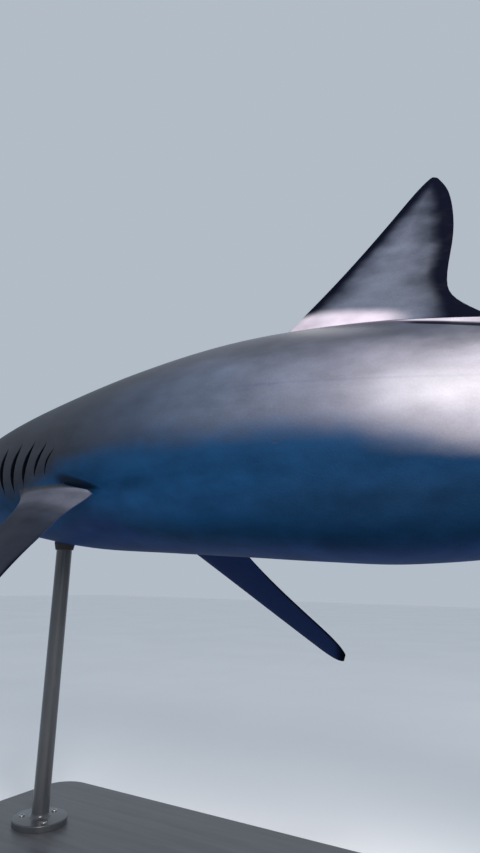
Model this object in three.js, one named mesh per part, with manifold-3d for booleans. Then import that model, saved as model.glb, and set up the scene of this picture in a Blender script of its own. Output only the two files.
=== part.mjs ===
// A silky shark (Carcharhinus falciformis): an adult female, swimming, held up by a plain display stand.
//
// Millimetres, +Z up. The head points along -X and the shark's left flank faces -Y.
// The animal is first laid out straight: x runs back from the tip of the snout, y out to its right side,
// and z up from the body's axis. Then every point is carried onto the curve that the swimming body takes.
import * as THREE from 'three';
import { mergeVertices } from 'three/addons/utils/BufferGeometryUtils.js';
import Module from 'manifold-3d';

// ---------------------------------------------------------------- driving dimensions

const totalLength = 2400;
const axisHeight = 580; // the body's axis above the floor
const gap = 0.3; // between neighbouring pieces
const clearance = 0.45; // round what is let into another piece
const ringSides = 28;

// The swimming curve. The body heads straight along +X at levelAt, and bends by one radian in bendRadius.
// Behind swingFrom the bend is undone again, so the tail swings back towards +X.
const levelAt = 864;
const bendRadius = 2320;
const swingFrom = 1320;
const swingRate = 6;

// The trunk's outline: height of the back and of the belly, and half the width, at each distance from the snout.
const stations = [
  { x: 0, top: -9, bottom: -9, half: 0 },
  { x: 24, top: 15, bottom: -27, half: 36 },
  { x: 72, top: 33, bottom: -41, half: 64 },
  { x: 144, top: 52, bottom: -58, half: 89 },
  { x: 216, top: 67, bottom: -76, half: 106 },
  { x: 288, top: 79, bottom: -94, half: 119 },
  { x: 432, top: 102, bottom: -121, half: 137 },
  { x: 564, top: 119, bottom: -138, half: 146 },
  { x: 720, top: 137, bottom: -147, half: 152 },
  { x: 852, top: 147, bottom: -154, half: 154 },
  { x: 960, top: 147, bottom: -160, half: 149 },
  { x: 1068, top: 140, bottom: -163, half: 138 },
  { x: 1200, top: 124, bottom: -151, half: 118 },
  { x: 1344, top: 100, bottom: -118, half: 92 },
  { x: 1488, top: 77, bottom: -84, half: 68 },
  { x: 1632, top: 56, bottom: -57, half: 49 },
  { x: 1776, top: 42, bottom: -43, half: 36 },
];
const headEnd = 430;
const shoulderEnd = 720;
const bellyEnd = 1130;
const rearEnd = 1480;
const stalkEnd = 1776;

// The snout's underside is flat: its lower half is this square at the tip, and round from snoutEnd back.
const snoutSquareness = 0.74;
const snoutWaist = 0.44; // height of the widest level, as a share of the section
const snoutEnd = 460;

const eye = { x: 181, z: 3, radius: 21, inset: 15.5 };
const nostril = { x: 96, across: 0.66, length: 15, width: 4, depth: 9, turn: 0.9 };
// Each gill slit leans back towards its top and bows forward: the place of its foot, how far its top lies behind
// that, the heights of both ends, and half its width.
const gillSlits = [
  { x: 471, lean: 12, low: -58, high: 14, half: 5.4 },
  { x: 502, lean: 24, low: -58, high: 15, half: 5.6 },
  { x: 536, lean: 28, low: -54, high: 14, half: 5.2 },
  { x: 567, lean: 30, low: -44, high: 9, half: 3.6 },
  { x: 594, lean: 26, low: -35, high: -3, half: 2.2 },
];
const gillBow = 7;

// The mouth is a parabola under the head. The lower jaw lies inside it, let down about its back edge.
const mouth = { front: 184, corner: 286, half: 101, roof: -42, slope: 0.2 };
const jaw = { front: 197, half: 90, hingeX: 300, hingeZ: -64, drop: 0.095 };
const teeth = { perSide: 11, upper: 12, lower: 8, radius: 5.2 };

const pectoral = {
  x: 527,
  y: 120,
  z: -66,
  base: 99,
  tip: [160, 440],
  tipRear: [196, 400],
  leadPull: [66, 250],
  trailPull: [108, 121],
  freeTip: [182, 40],
  sweep: 0.195,
  droop: 0.66,
  curl: 0.00035,
  incidence: 0.016,
  rootHalf: 12,
  tipHalf: 2,
  flare: 5,
};
const firstDorsal = {
  x: 883,
  base: 204,
  lean: 0.05,
  leadPull: [112, 81],
  apex: [240, 223],
  rear: [[256, 212], [264, 181], [264, 132], [251, 72], [258, 40], [306, 5]],
  rootHalf: 16,
  tipHalf: 2,
  flare: 13,
};
const secondDorsal = {
  x: 1528,
  base: 70,
  lean: 0.15,
  leadPull: [34, 30],
  apex: [66, 45],
  rear: [[74, 42], [76, 34], [72, 22], [84, 12], [188, 4]],
  rootHalf: 6,
  tipHalf: 1.5,
  flare: 3,
};
const analFin = {
  x: 1512,
  base: 94,
  lean: -0.17,
  leadPull: [36, 36],
  apex: [82, 64],
  rear: [[91, 60], [94, 50], [86, 34], [100, 20], [186, 6]],
  rootHalf: 7,
  tipHalf: 1.5,
  flare: 3,
};
const pelvic = {
  x: 1204,
  y: 66,
  z: -108,
  base: 112,
  tip: [108, 122],
  tipRear: [124, 118],
  leadPull: [34, 84],
  trailPull: [138, 70],
  freeTip: [206, 34],
  sweep: 0.1,
  droop: 0.72,
  curl: 0.001,
  incidence: 0.16,
  rootHalf: 8,
  tipHalf: 1.8,
  flare: 3,
};

// The tail fin, measured back and up from where its upper edge begins.
const caudal = { top: 42, upperPull: [250, 175], upperTip: [523, 340] };
// Share of the upper edge, the lower edge's place, and half the thickness.
const upperLobe = [
  [0.0, 0, -85, 36],
  [0.1, 72, -60, 27],
  [0.22, 148, -24, 20],
  [0.33, 208, 14, 15],
  [0.46, 290, 92, 11],
  [0.58, 358, 155, 9],
  [0.69, 404, 198, 7.5],
  [0.745, 444, 203, 6.5],
  [0.8, 468, 216, 5.5],
  [0.9, 500, 270, 4],
  [0.97, 517, 320, 3],
  [1.0, 524, 339, 1.8],
];
const lowerLobe = {
  rootLead: [30, -52],
  rootTrail: [196, 30],
  lead: [16, -82],
  leadPull: [58, -214],
  tip: [180, -304],
  tipRear: [194, -296],
  trail: [210, 8],
  trailPull: [160, -100],
  rootHalf: 12,
  tipHalf: 2,
  flare: 0,
};

const stand = {
  length: 1160,
  width: 430,
  thickness: 24,
  cornerRadius: 50,
  centreX: 905,
  rodAt: [456, 1338],
  rodRadius: 13,
  footRadius: 42,
  footHeight: 9,
};

// ---------------------------------------------------------------- materials

const upperSkin = new THREE.MeshStandardMaterial({ color: 0x5b5d66, roughness: 0.42, metalness: 0.0 });
const finSkin = new THREE.MeshStandardMaterial({ color: 0x4e4f58, roughness: 0.45, metalness: 0.0 });
const eyeGloss = new THREE.MeshStandardMaterial({ color: 0x0b0c0c, roughness: 0.08, metalness: 0.0 });
const paintedBoard = new THREE.MeshStandardMaterial({ color: 0x34373a, roughness: 0.5, metalness: 0.0 });
const paintedSteel = new THREE.MeshStandardMaterial({ color: 0x2b2d30, roughness: 0.4, metalness: 0.6 });

// ---------------------------------------------------------------- solids

const wasm = await Module();
wasm.setup();
const { Manifold, Mesh } = wasm;

// A three.js geometry as a solid that can be joined and cut, turned so that it faces out.
function solidOf(geometry) {
  const bare = geometry.clone();
  bare.deleteAttribute('normal');
  bare.deleteAttribute('uv');
  const merged = mergeVertices(bare, 1e-3);
  const triVerts = new Uint32Array(merged.index.array);
  const vertProperties = new Float32Array(merged.attributes.position.array);
  const solid = new Manifold(new Mesh({ numProp: 3, vertProperties, triVerts }));
  if (solid.volume() > 0) return solid;
  for (let i = 0; i < triVerts.length; i += 3) {
    [triVerts[i], triVerts[i + 1]] = [triVerts[i + 1], triVerts[i]];
  }
  return new Manifold(new Mesh({ numProp: 3, vertProperties, triVerts }));
}

function geometryOf(solid) {
  const { vertProperties, triVerts } = solid.getMesh();
  const geometry = new THREE.BufferGeometry();
  geometry.setAttribute('position', new THREE.BufferAttribute(vertProperties, 3));
  geometry.setIndex(new THREE.BufferAttribute(triVerts, 1));
  return geometry;
}

// A closed solid through a row of rings of points, each ring with the same number, capped at both ends.
function loft(rings) {
  const count = rings[0].length;
  const positions = rings.flat(2);
  const index = [];
  for (let r = 0; r < rings.length - 1; r += 1) {
    for (let k = 0; k < count; k += 1) {
      const next = (k + 1) % count;
      const a = r * count + k;
      const b = r * count + next;
      index.push(a, b, b + count, a, b + count, a + count);
    }
  }
  const caps = [{ ring: rings[0], start: 0 }, { ring: rings.at(-1), start: (rings.length - 1) * count }];
  caps.forEach(({ ring, start }, end) => {
    const centre = positions.length / 3;
    for (const axis of [0, 1, 2]) {
      positions.push(ring.reduce((sum, point) => sum + point[axis], 0) / count);
    }
    for (let k = 0; k < count; k += 1) {
      const next = (k + 1) % count;
      const pair = end === 0 ? [start + next, start + k] : [start + k, start + next];
      index.push(centre, ...pair);
    }
  });
  const geometry = new THREE.BufferGeometry();
  geometry.setAttribute('position', new THREE.Float32BufferAttribute(positions, 3));
  geometry.setIndex(index);
  return solidOf(geometry);
}

function bezier(from, pull, to, t) {
  const curve = new THREE.QuadraticBezierCurve(
    new THREE.Vector2(...from),
    new THREE.Vector2(...pull),
    new THREE.Vector2(...to),
  );
  return curve.getPoint(t).toArray();
}

function mix(a, b, t) {
  return a + (b - a) * t;
}

// ---------------------------------------------------------------- the swimming curve

function headingAt(x) {
  const past = Math.max(x - swingFrom, 0) / totalLength;
  return (x - levelAt) / bendRadius - (swingRate * past * past) / 2;
}

const curveStep = 4;
const curve = new Map([[levelAt, { x: levelAt, y: 0 }]]);
for (const way of [-1, 1]) {
  let point = curve.get(levelAt);
  for (let x = levelAt; x > -curveStep * 2 && x < totalLength * 1.1; x += way * curveStep) {
    const heading = headingAt(x + (way * curveStep) / 2);
    point = {
      x: point.x + way * curveStep * Math.cos(heading),
      y: point.y + way * curveStep * Math.sin(heading),
    };
    curve.set(x + way * curveStep, point);
  }
}

// Where a point of the straight animal lies once the body is bent.
function swim([x, y, z]) {
  const low = levelAt + Math.floor((x - levelAt) / curveStep) * curveStep;
  const a = curve.get(low);
  const b = curve.get(low + curveStep);
  const share = (x - low) / curveStep;
  const heading = headingAt(x);
  return [
    mix(a.x, b.x, share) - y * Math.sin(heading),
    mix(a.y, b.y, share) + y * Math.cos(heading),
    z + axisHeight,
  ];
}

function swimming(solid) {
  const geometry = geometryOf(solid);
  const positions = geometry.attributes.position;
  for (let i = 0; i < positions.count; i += 1) {
    positions.setXYZ(i, ...swim([positions.getX(i), positions.getY(i), positions.getZ(i)]));
  }
  return geometry;
}

// ---------------------------------------------------------------- the trunk's sections

// One column of the station table at x: a cubic through the stations, run over the square root of x,
// which rounds the tip of the snout.
function outline(x, column) {
  const t = Math.sqrt(Math.max(x, 0));
  const last = stations.length - 1;
  const reach = (i) => Math.sqrt(stations[i].x);
  let i = 0;
  while (i < last - 1 && t > reach(i + 1)) i += 1;
  const slope = (k) => {
    const before = Math.max(k - 1, 0);
    const after = Math.min(k + 1, last);
    return (stations[after][column] - stations[before][column]) / (reach(after) - reach(before));
  };
  const span = reach(i + 1) - reach(i);
  const u = (t - reach(i)) / span;
  const ends = (1 + 2 * u) * (1 - u) ** 2 * stations[i][column] + u * u * (3 - 2 * u) * stations[i + 1][column];
  return ends + u * (1 - u) ** 2 * span * slope(i) + u * u * (u - 1) * span * slope(i + 1);
}

function section(x) {
  const top = outline(x, 'top');
  const bottom = outline(x, 'bottom');
  const round = THREE.MathUtils.smoothstep(x, 0, snoutEnd);
  return {
    top,
    bottom,
    half: outline(x, 'half'),
    waist: mix(bottom, top, mix(snoutWaist, 0.5, round)),
    power: mix(snoutSquareness, 1, round),
  };
}

function trunkRing(x, grow) {
  const { top, bottom, half, waist, power } = section(x);
  return Array.from({ length: ringSides }, (_, k) => {
    const angle = (2 * Math.PI * k) / ringSides;
    const across = Math.cos(angle);
    const up = Math.sin(angle);
    if (up >= -1e-9) return [x, (half + grow) * across, waist + (top + grow - waist) * up];
    const y = (half + grow) * Math.sign(across) * Math.abs(across) ** power;
    return [x, y, waist - (waist - bottom + grow) * Math.abs(up) ** power];
  });
}

// The trunk's half width at a height.
function sideAt(x, z) {
  const { top, bottom, half, waist, power } = section(x);
  if (z >= waist) return half * Math.sqrt(1 - ((z - waist) / (top - waist)) ** 2);
  const up = ((waist - z) / (waist - bottom)) ** (1 / power);
  return half * Math.sqrt(1 - up * up) ** power;
}

// The height of the trunk's underside at a distance from its middle.
function underAt(x, y) {
  const { bottom, half, waist, power } = section(x);
  const across = (Math.abs(y) / half) ** (1 / power);
  return waist - (waist - bottom) * Math.sqrt(1 - across * across) ** power;
}

// Rings close together at the snout and evenly spaced behind the head.
const snoutRings = 14;
const ringsAt = Array.from({ length: snoutRings }, (_, k) => headEnd * ((k + 1) / snoutRings) ** 2);
const breaks = [headEnd, shoulderEnd, bellyEnd, rearEnd, stalkEnd];
breaks.slice(1).forEach((end, i) => {
  const steps = Math.ceil((end - breaks[i]) / 60);
  for (let k = 1; k <= steps; k += 1) ringsAt.push(mix(breaks[i], end, k / steps));
});

function trunkPiece(from, to, grow = 0) {
  const inside = ringsAt.filter((x) => x > from + 1 && x < to - 1);
  const start = from === 0 ? [] : [from + gap / 2];
  return loft([...start, ...inside, to - gap / 2].map((x) => trunkRing(x, grow)));
}

const wholeTrunk = trunkPiece(0, stalkEnd + gap, clearance);
const bentTrunk = solidOf(swimming(wholeTrunk));

// ---------------------------------------------------------------- head, jaw, eyes and gills

// The space under the head inside a parabola, up to the sloping roof of the mouth.
function underHead(front, corner, half, roof) {
  const shape = new THREE.Shape();
  shape.moveTo(corner, -half);
  shape.quadraticCurveTo(2 * front - corner, 0, corner, half);
  const depth = 130;
  const geometry = new THREE.ExtrudeGeometry(shape, { depth, bevelEnabled: false, curveSegments: 16 });
  geometry.translate(0, 0, roof - depth);
  const positions = geometry.attributes.position;
  for (let i = 0; i < positions.count; i += 1) {
    const fall = mouth.slope * (positions.getX(i) - mouth.front);
    if (positions.getZ(i) > roof - 1) positions.setZ(i, roof - fall);
  }
  return solidOf(geometry);
}

// Lets a piece of the jaw down about its back edge.
function letDown(geometry) {
  geometry.translate(-jaw.hingeX, 0, -jaw.hingeZ);
  geometry.rotateY(-jaw.drop);
  geometry.translate(jaw.hingeX, 0, jaw.hingeZ);
  return geometry;
}

// A row of flat triangular teeth along a parabola, pointing up or down and leaning in over the gape.
function toothRow(front, half, base, way) {
  const row = [];
  const length = way > 0 ? teeth.lower : teeth.upper;
  for (let k = 0; k < 2 * teeth.perSide; k += 1) {
    const share = ((k + 0.5) / teeth.perSide - 1) * 0.86;
    const size = 1 - 0.45 * Math.abs(share);
    const x = front + (mouth.corner - front) * share * share;
    const tooth = new THREE.ConeGeometry(teeth.radius * size, length * size, 4);
    tooth.rotateX((way * Math.PI) / 2);
    tooth.scale(1, 0.5, 1);
    tooth.rotateX(0.35 * way);
    tooth.rotateZ(-Math.PI / 2 * share * 1.25 + Math.PI / 2);
    tooth.translate(x, half * share, base(x, half * share) + (way * length * size) / 2);
    row.push(tooth);
  }
  return row;
}

function roofAt(x) {
  return mouth.roof - mouth.slope * (x - mouth.front);
}

function makeHead() {
  const cavity = underHead(mouth.front, mouth.corner, mouth.half, mouth.roof);
  const jawBed = underHead(jaw.front - 1, jaw.hingeX + 1, jaw.half + 6, mouth.roof);
  let head = trunkPiece(0, headEnd).subtract(cavity);
  head = head.subtract(jawBed).subtract(solidOf(letDown(geometryOf(jawBed))));
  for (const side of [-1, 1]) {
    const socket = new THREE.SphereGeometry(eye.radius + clearance, 14, 10);
    socket.translate(eye.x, side * (sideAt(eye.x, eye.z) - eye.inset), eye.z);
    const nose = new THREE.SphereGeometry(1, 10, 6);
    nose.scale(nostril.length, nostril.width, nostril.depth);
    nose.rotateZ(side * nostril.turn);
    nose.translate(nostril.x, side * nostril.across * outline(nostril.x, 'half'), outline(nostril.x, 'bottom'));
    head = head.subtract(solidOf(socket)).subtract(solidOf(nose));
  }
  for (const tooth of toothRow(mouth.front + 1, mouth.half - 1, (x, y) => underAt(x, y) + 15, -1)) {
    head = head.add(solidOf(tooth));
  }
  return head;
}

function makeJaw() {
  const bed = underHead(jaw.front, jaw.hingeX, jaw.half + 5, mouth.roof);
  let lower = trunkPiece(0, headEnd).intersect(bed);
  for (const tooth of toothRow(jaw.front + 5, jaw.half - 4, (x) => roofAt(x) - 2, 1)) {
    lower = lower.add(solidOf(tooth));
  }
  return solidOf(letDown(geometryOf(lower)));
}

function makeEye(side) {
  const ball = new THREE.SphereGeometry(eye.radius, 14, 10);
  ball.translate(eye.x, side * (sideAt(eye.x, eye.z) - eye.inset), eye.z);
  return solidOf(ball);
}

// The groove of one gill slit.
function gillGroove(slit, side) {
  const levels = 6;
  const rings = Array.from({ length: levels }, (_, k) => {
    const share = k / (levels - 1);
    const z = mix(slit.low, slit.high, share);
    const x = slit.x + slit.lean * share - gillBow * Math.sin(Math.PI * share);
    const half = slit.half * (0.25 + 0.75 * Math.sin(Math.PI * share));
    const out = sideAt(x, z);
    return [[x - half, 0.93 * out], [x + half, 0.93 * out], [x + half, out + 6], [x - half, out + 6]]
      .map(([px, py]) => [px, side * py, z]);
  });
  return loft(rings);
}

function makeShoulder() {
  let piece = trunkPiece(headEnd, shoulderEnd);
  for (const side of [-1, 1]) {
    for (const slit of gillSlits) piece = piece.subtract(gillGroove(slit, side));
  }
  return piece;
}

// ---------------------------------------------------------------- fins

// Half the thickness of a fin at a share of the chord, for a flat fin (flat = 1) or a round stalk (flat = 0).
function foil(share, flat) {
  const stalk = 2 * Math.sqrt(share * (1 - share));
  const blade = 2.6 * Math.sqrt(share) * (1 - share);
  return mix(stalk, blade, flat);
}

// A ring of points round one chord of a fin, from its front edge to its rear edge.
function finRing(lead, trail, half, flat, place) {
  const edge = 0.6;
  const steps = 6;
  const shares = Array.from({ length: steps + 1 }, (_, k) => (1 - Math.cos((Math.PI * k) / steps)) / 2);
  const at = (share, side) => {
    const thick = side * (half * foil(share, flat) + edge);
    return place(mix(lead[0], trail[0], share), mix(lead[1], trail[1], share), thick);
  };
  return [...shares.map((share) => at(share, 1)), ...shares.toReversed().map((share) => at(share, -1))];
}

// Rings out along a fin between its front and rear edges, flared at the root and drawn in to a rounded tip.
function finRings(lead, trail, fin, place) {
  const roundFrom = 0.88;
  const flareEnd = 0.16;
  const spans = [0, 0.04, 0.1, 0.22, 0.36, 0.5, 0.64, 0.77, 0.88, 0.94, 0.98, 0.996];
  return spans.map((t) => {
    const flared = fin.flare * Math.max(1 - t / flareEnd, 0) ** 2;
    const half = mix(fin.rootHalf, fin.tipHalf, 1 - (1 - t) ** 1.5) + flared;
    const past = Math.max((t - roundFrom) / (1 - roundFrom), 0);
    const drawnIn = (1 - Math.sqrt(1 - past * past)) / 2;
    const [a, b] = [lead(t), trail(t)];
    const front = [mix(a[0], b[0], drawnIn), mix(a[1], b[1], drawnIn)];
    const rear = [mix(b[0], a[0], drawnIn), mix(b[1], a[1], drawnIn)];
    return finRing(front, rear, half, 1, place);
  });
}

// A fin standing on the back (way 1) or hanging from the belly (way -1).
function uprightFin(fin, way) {
  const level = outline(fin.x, way > 0 ? 'top' : 'bottom') - 5 * way;
  const place = (a, b, h) => [fin.x + a, h, level + way * b - fin.lean * a];
  const rear = new THREE.SplineCurve(fin.rear.map((point) => new THREE.Vector2(...point)));
  const lead = (t) => bezier([0, 0], fin.leadPull, fin.apex, t);
  const trail = (t) => rear.getPoint(1 - t).toArray();
  const rootHalf = fin.rootHalf + fin.flare;
  const root = [-34, -2].map((deep) => finRing([0, deep], [fin.base, deep], rootHalf, 1, place));
  return loft([...root, ...finRings(lead, trail, fin, place)]).subtract(wholeTrunk);
}

// A fin of a pair, spread out from the lower flank and curling down towards its tip.
function pairedFin(fin, side) {
  const heading = headingAt(fin.x);
  const [originX, originY, originZ] = swim([fin.x, 0, 0]);
  const place = (a, b, h) => {
    const back = a * Math.cos(fin.sweep) + b * Math.sin(fin.sweep);
    const out = b * Math.cos(fin.sweep) - a * Math.sin(fin.sweep);
    const angle = fin.droop + fin.curl * out;
    const y = side * (fin.y + (Math.sin(angle) - Math.sin(fin.droop)) / fin.curl + h * Math.sin(angle));
    const z = fin.z + (Math.cos(angle) - Math.cos(fin.droop)) / fin.curl + h * Math.cos(angle);
    const x = back * Math.cos(fin.incidence);
    return [
      originX + x * Math.cos(heading) - y * Math.sin(heading),
      originY + x * Math.sin(heading) + y * Math.cos(heading),
      originZ + z - back * Math.sin(fin.incidence),
    ];
  };
  const lead = (t) => bezier([0, 0], fin.leadPull, fin.tip, t);
  const trail = (t) => bezier(fin.freeTip, fin.trailPull, fin.tipRear, t);
  const rootHalf = fin.rootHalf + fin.flare;
  const root = [-60, -4].map((deep) => finRing([2, deep], [fin.base, deep], rootHalf, 1, place));
  const blade = loft([...root, ...finRings(lead, trail, fin, place)]);
  return geometryOf(blade.subtract(bentTrunk));
}

function placeCaudal(a, b, h) {
  return [stalkEnd + a, h, caudal.top + b];
}

function makeUpperLobe() {
  const rings = upperLobe.map(([share, x, z, half], i) => {
    const lead = bezier([0, 0], caudal.upperPull, caudal.upperTip, share);
    return finRing([lead[0] + gap / 2, lead[1]], [x + gap / 2, z], half, Math.min(i / 4, 1), placeCaudal);
  });
  return loft(rings);
}

function makeLowerLobe() {
  const lead = (t) => bezier(lowerLobe.lead, lowerLobe.leadPull, lowerLobe.tip, t);
  const trail = (t) => bezier(lowerLobe.trail, lowerLobe.trailPull, lowerLobe.tipRear, t);
  const root = finRing(lowerLobe.rootLead, lowerLobe.rootTrail, lowerLobe.rootHalf, 0.5, placeCaudal);
  const rings = finRings(lead, trail, lowerLobe, placeCaudal);
  const grown = upperLobe.slice(0, 6).map(([share, x, z, half], i) => {
    const point = bezier([0, 0], caudal.upperPull, caudal.upperTip, share);
    const wide = half + clearance;
    return finRing([point[0], point[1] + 1], [x + 0.4, z - 0.4], wide, Math.min(i / 4, 1), placeCaudal);
  });
  return loft([root, ...rings]).subtract(loft(grown)).subtract(wholeTrunk);
}

// ---------------------------------------------------------------- the stand

const [baseX, baseY] = swim([stand.centreX, 0, 0]);

function makeBase() {
  const [halfLength, halfWidth, r] = [stand.length / 2, stand.width / 2, stand.cornerRadius];
  const shape = new THREE.Shape();
  shape.moveTo(-halfLength + r, -halfWidth);
  shape.absarc(halfLength - r, -halfWidth + r, r, -Math.PI / 2, 0, false);
  shape.absarc(halfLength - r, halfWidth - r, r, 0, Math.PI / 2, false);
  shape.absarc(-halfLength + r, halfWidth - r, r, Math.PI / 2, Math.PI, false);
  shape.absarc(-halfLength + r, -halfWidth + r, r, Math.PI, 1.5 * Math.PI, false);
  const plate = new THREE.ExtrudeGeometry(shape, {
    depth: stand.thickness,
    bevelEnabled: false,
    curveSegments: 6,
  });
  return plate.translate(baseX, baseY, 0);
}

// A rod with a round foot, from the base up to the belly, whose top is shaped to the skin.
function makeRod(at) {
  const [x, y] = swim([at, 0, 0]);
  const foot = stand.thickness + gap;
  const profile = [
    [0, foot],
    [stand.footRadius, foot],
    [stand.footRadius, foot + stand.footHeight],
    [stand.rodRadius, foot + stand.footHeight + 5],
    [stand.rodRadius, axisHeight - 20],
    [0, axisHeight - 20],
  ];
  const rod = new THREE.LatheGeometry(profile.map(([r, z]) => new THREE.Vector2(r, z)), 20);
  rod.rotateX(Math.PI / 2);
  rod.translate(x, y, 0);
  return geometryOf(solidOf(rod).subtract(bentTrunk));
}

// ---------------------------------------------------------------- the model

const model = new THREE.Group();

function addPart(name, geometry, material) {
  const mesh = new THREE.Mesh(geometry, material);
  mesh.name = name;
  model.add(mesh);
}

addPart('head', swimming(makeHead()), upperSkin);
addPart('lower_jaw', swimming(makeJaw()), upperSkin);
addPart('trunk_front', swimming(makeShoulder()), upperSkin);
addPart('trunk_middle', swimming(trunkPiece(shoulderEnd, bellyEnd)), upperSkin);
addPart('trunk_rear', swimming(trunkPiece(bellyEnd, rearEnd)), upperSkin);
addPart('tail_stalk', swimming(trunkPiece(rearEnd, stalkEnd)), upperSkin);
addPart('caudal_fin_upper', swimming(makeUpperLobe()), finSkin);
addPart('caudal_fin_lower', swimming(makeLowerLobe()), finSkin);
addPart('dorsal_fin_first', swimming(uprightFin(firstDorsal, 1)), finSkin);
addPart('dorsal_fin_second', swimming(uprightFin(secondDorsal, 1)), finSkin);
addPart('anal_fin', swimming(uprightFin(analFin, -1)), finSkin);
for (const [word, side] of [['left', -1], ['right', 1]]) {
  addPart(`pectoral_fin_${word}`, pairedFin(pectoral, side), finSkin);
  addPart(`pelvic_fin_${word}`, pairedFin(pelvic, side), finSkin);
  addPart(`eye_${word}`, swimming(makeEye(side)), eyeGloss);
}
addPart('stand_base', makeBase(), paintedBoard);
addPart('stand_rod_front', makeRod(stand.rodAt[0]), paintedSteel);
addPart('stand_rod_rear', makeRod(stand.rodAt[1]), paintedSteel);

// The origin is on the floor, under the middle of the model's box.
const box = new THREE.Box3().setFromObject(model);
const middle = box.getCenter(new THREE.Vector3());
model.position.set(-middle.x, -middle.y, -box.min.z);

export default model;
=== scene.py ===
# An adult silky shark, swimming, as a life-size still model on a display stand.
# Metres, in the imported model's frame: the head points along -X, the left flank faces -Y and +Z is up.
import math

import bmesh
import bpy
from mathutils import Matrix, Vector


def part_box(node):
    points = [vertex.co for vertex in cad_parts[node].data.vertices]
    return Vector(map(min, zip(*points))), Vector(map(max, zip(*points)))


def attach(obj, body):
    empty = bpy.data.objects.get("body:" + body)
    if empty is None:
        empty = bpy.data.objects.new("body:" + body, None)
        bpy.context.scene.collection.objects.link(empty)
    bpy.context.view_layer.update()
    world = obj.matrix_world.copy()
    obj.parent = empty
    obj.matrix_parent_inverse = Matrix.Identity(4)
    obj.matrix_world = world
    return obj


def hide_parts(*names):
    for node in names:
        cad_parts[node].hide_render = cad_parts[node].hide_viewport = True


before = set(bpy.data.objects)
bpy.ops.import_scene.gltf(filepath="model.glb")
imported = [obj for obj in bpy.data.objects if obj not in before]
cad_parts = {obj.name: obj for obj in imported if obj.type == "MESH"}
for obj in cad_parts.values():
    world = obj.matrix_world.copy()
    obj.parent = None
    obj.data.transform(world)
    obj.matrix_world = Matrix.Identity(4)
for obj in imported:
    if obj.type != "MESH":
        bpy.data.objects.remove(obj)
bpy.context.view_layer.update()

# ---------------------------------------------------------------- the swimming curve and the camera
# The animal is laid out straight, x back from the tip of the snout, y out to its right and z up from the
# body's axis, and is then carried onto its swimming curve. The camera looks up at its left flank.

AXIS_HEIGHT = 0.580
LEVEL_AT = 0.864  # where the body heads straight along +X
BEND_RADIUS = 2.320
SWING_FROM = 1.320  # behind this the tail swings back
SWING_RATE = 6.0
TOTAL_LENGTH = 2.400
STAND_CENTRE = 0.905  # how far back along the body the stand's middle lies
CURVE_STEP = 0.004
CURVE_STEPS_BACK = 224
CURVE_STEPS_ON = 420


def mix(a, b, share):
    return a + (b - a) * share


def heading_at(x):
    past = max(x - SWING_FROM, 0.0) / TOTAL_LENGTH
    return (x - LEVEL_AT) / BEND_RADIUS - SWING_RATE * past * past / 2


curve = {0: (LEVEL_AT, 0.0)}
for way, steps in ((-1, CURVE_STEPS_BACK), (1, CURVE_STEPS_ON)):
    x, y = curve[0]
    for step in range(steps):
        heading = heading_at(LEVEL_AT + way * (step + 0.5) * CURVE_STEP)
        x += way * CURVE_STEP * math.cos(heading)
        y += way * CURVE_STEP * math.sin(heading)
        curve[way * (step + 1)] = (x, y)


def bend(x, y, z):
    """Where a point of the straight animal lies on the swimming one, before it is set over the stand."""
    along = (x - LEVEL_AT) / CURVE_STEP
    before = math.floor(along)
    a, b = curve[before], curve[before + 1]
    heading = heading_at(x)
    return Vector((
        mix(a[0], b[0], along - before) - y * math.sin(heading),
        mix(a[1], b[1], along - before) + y * math.cos(heading),
        z + AXIS_HEIGHT,
    ))


board_low, board_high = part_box("stand_base")
board_middle = (board_low + board_high) / 2
over_stand = board_middle - bend(STAND_CENTRE, 0, 0)
over_stand.z = 0.0


def swim(x, y, z):
    """Where a point of the straight animal lies on the finished model."""
    return bend(x, y, z) + over_stand


def begin(add, name, **sizes):
    """Deselects everything and adds a new object, which is then the only one selected."""
    bpy.ops.object.select_all(action="DESELECT")
    add(**sizes)
    bpy.context.object.name = name
    return bpy.context.object


CAMERA_PLACE = Vector((1.2631, -0.7121, 0.3926))
CAMERA_YAW = math.radians(31.105)
CAMERA_PITCH = math.radians(14.802)
CAMERA_ROLL = math.radians(1.0295)
CAMERA_LENS = 24.98
SENSOR_WIDTH = 36.0

looking_level = Matrix.Rotation(CAMERA_YAW, 4, "Z") @ Matrix.Rotation(math.pi / 2, 4, "X")
camera_turn = looking_level @ Matrix.Rotation(CAMERA_PITCH, 4, "X") @ Matrix.Rotation(CAMERA_ROLL, 4, "Z")
camera = begin(bpy.ops.object.camera_add, "camera")
camera.matrix_world = Matrix.Translation(CAMERA_PLACE + over_stand) @ camera_turn
camera.data.lens = CAMERA_LENS
camera.data.sensor_width = SENSOR_WIDTH
bpy.context.scene.camera = camera
bpy.context.scene.view_settings.view_transform = "Standard"

# ---------------------------------------------------------------- the skin's plan
# One unbroken skin covers the head, trunk, tail and every fin. It is a tube of rings and columns: column 0
# runs along the back, column 32 along the belly, and the columns below 32 lie on the right flank.

COLUMNS = 64
BELLY = COLUMNS // 2
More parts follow.
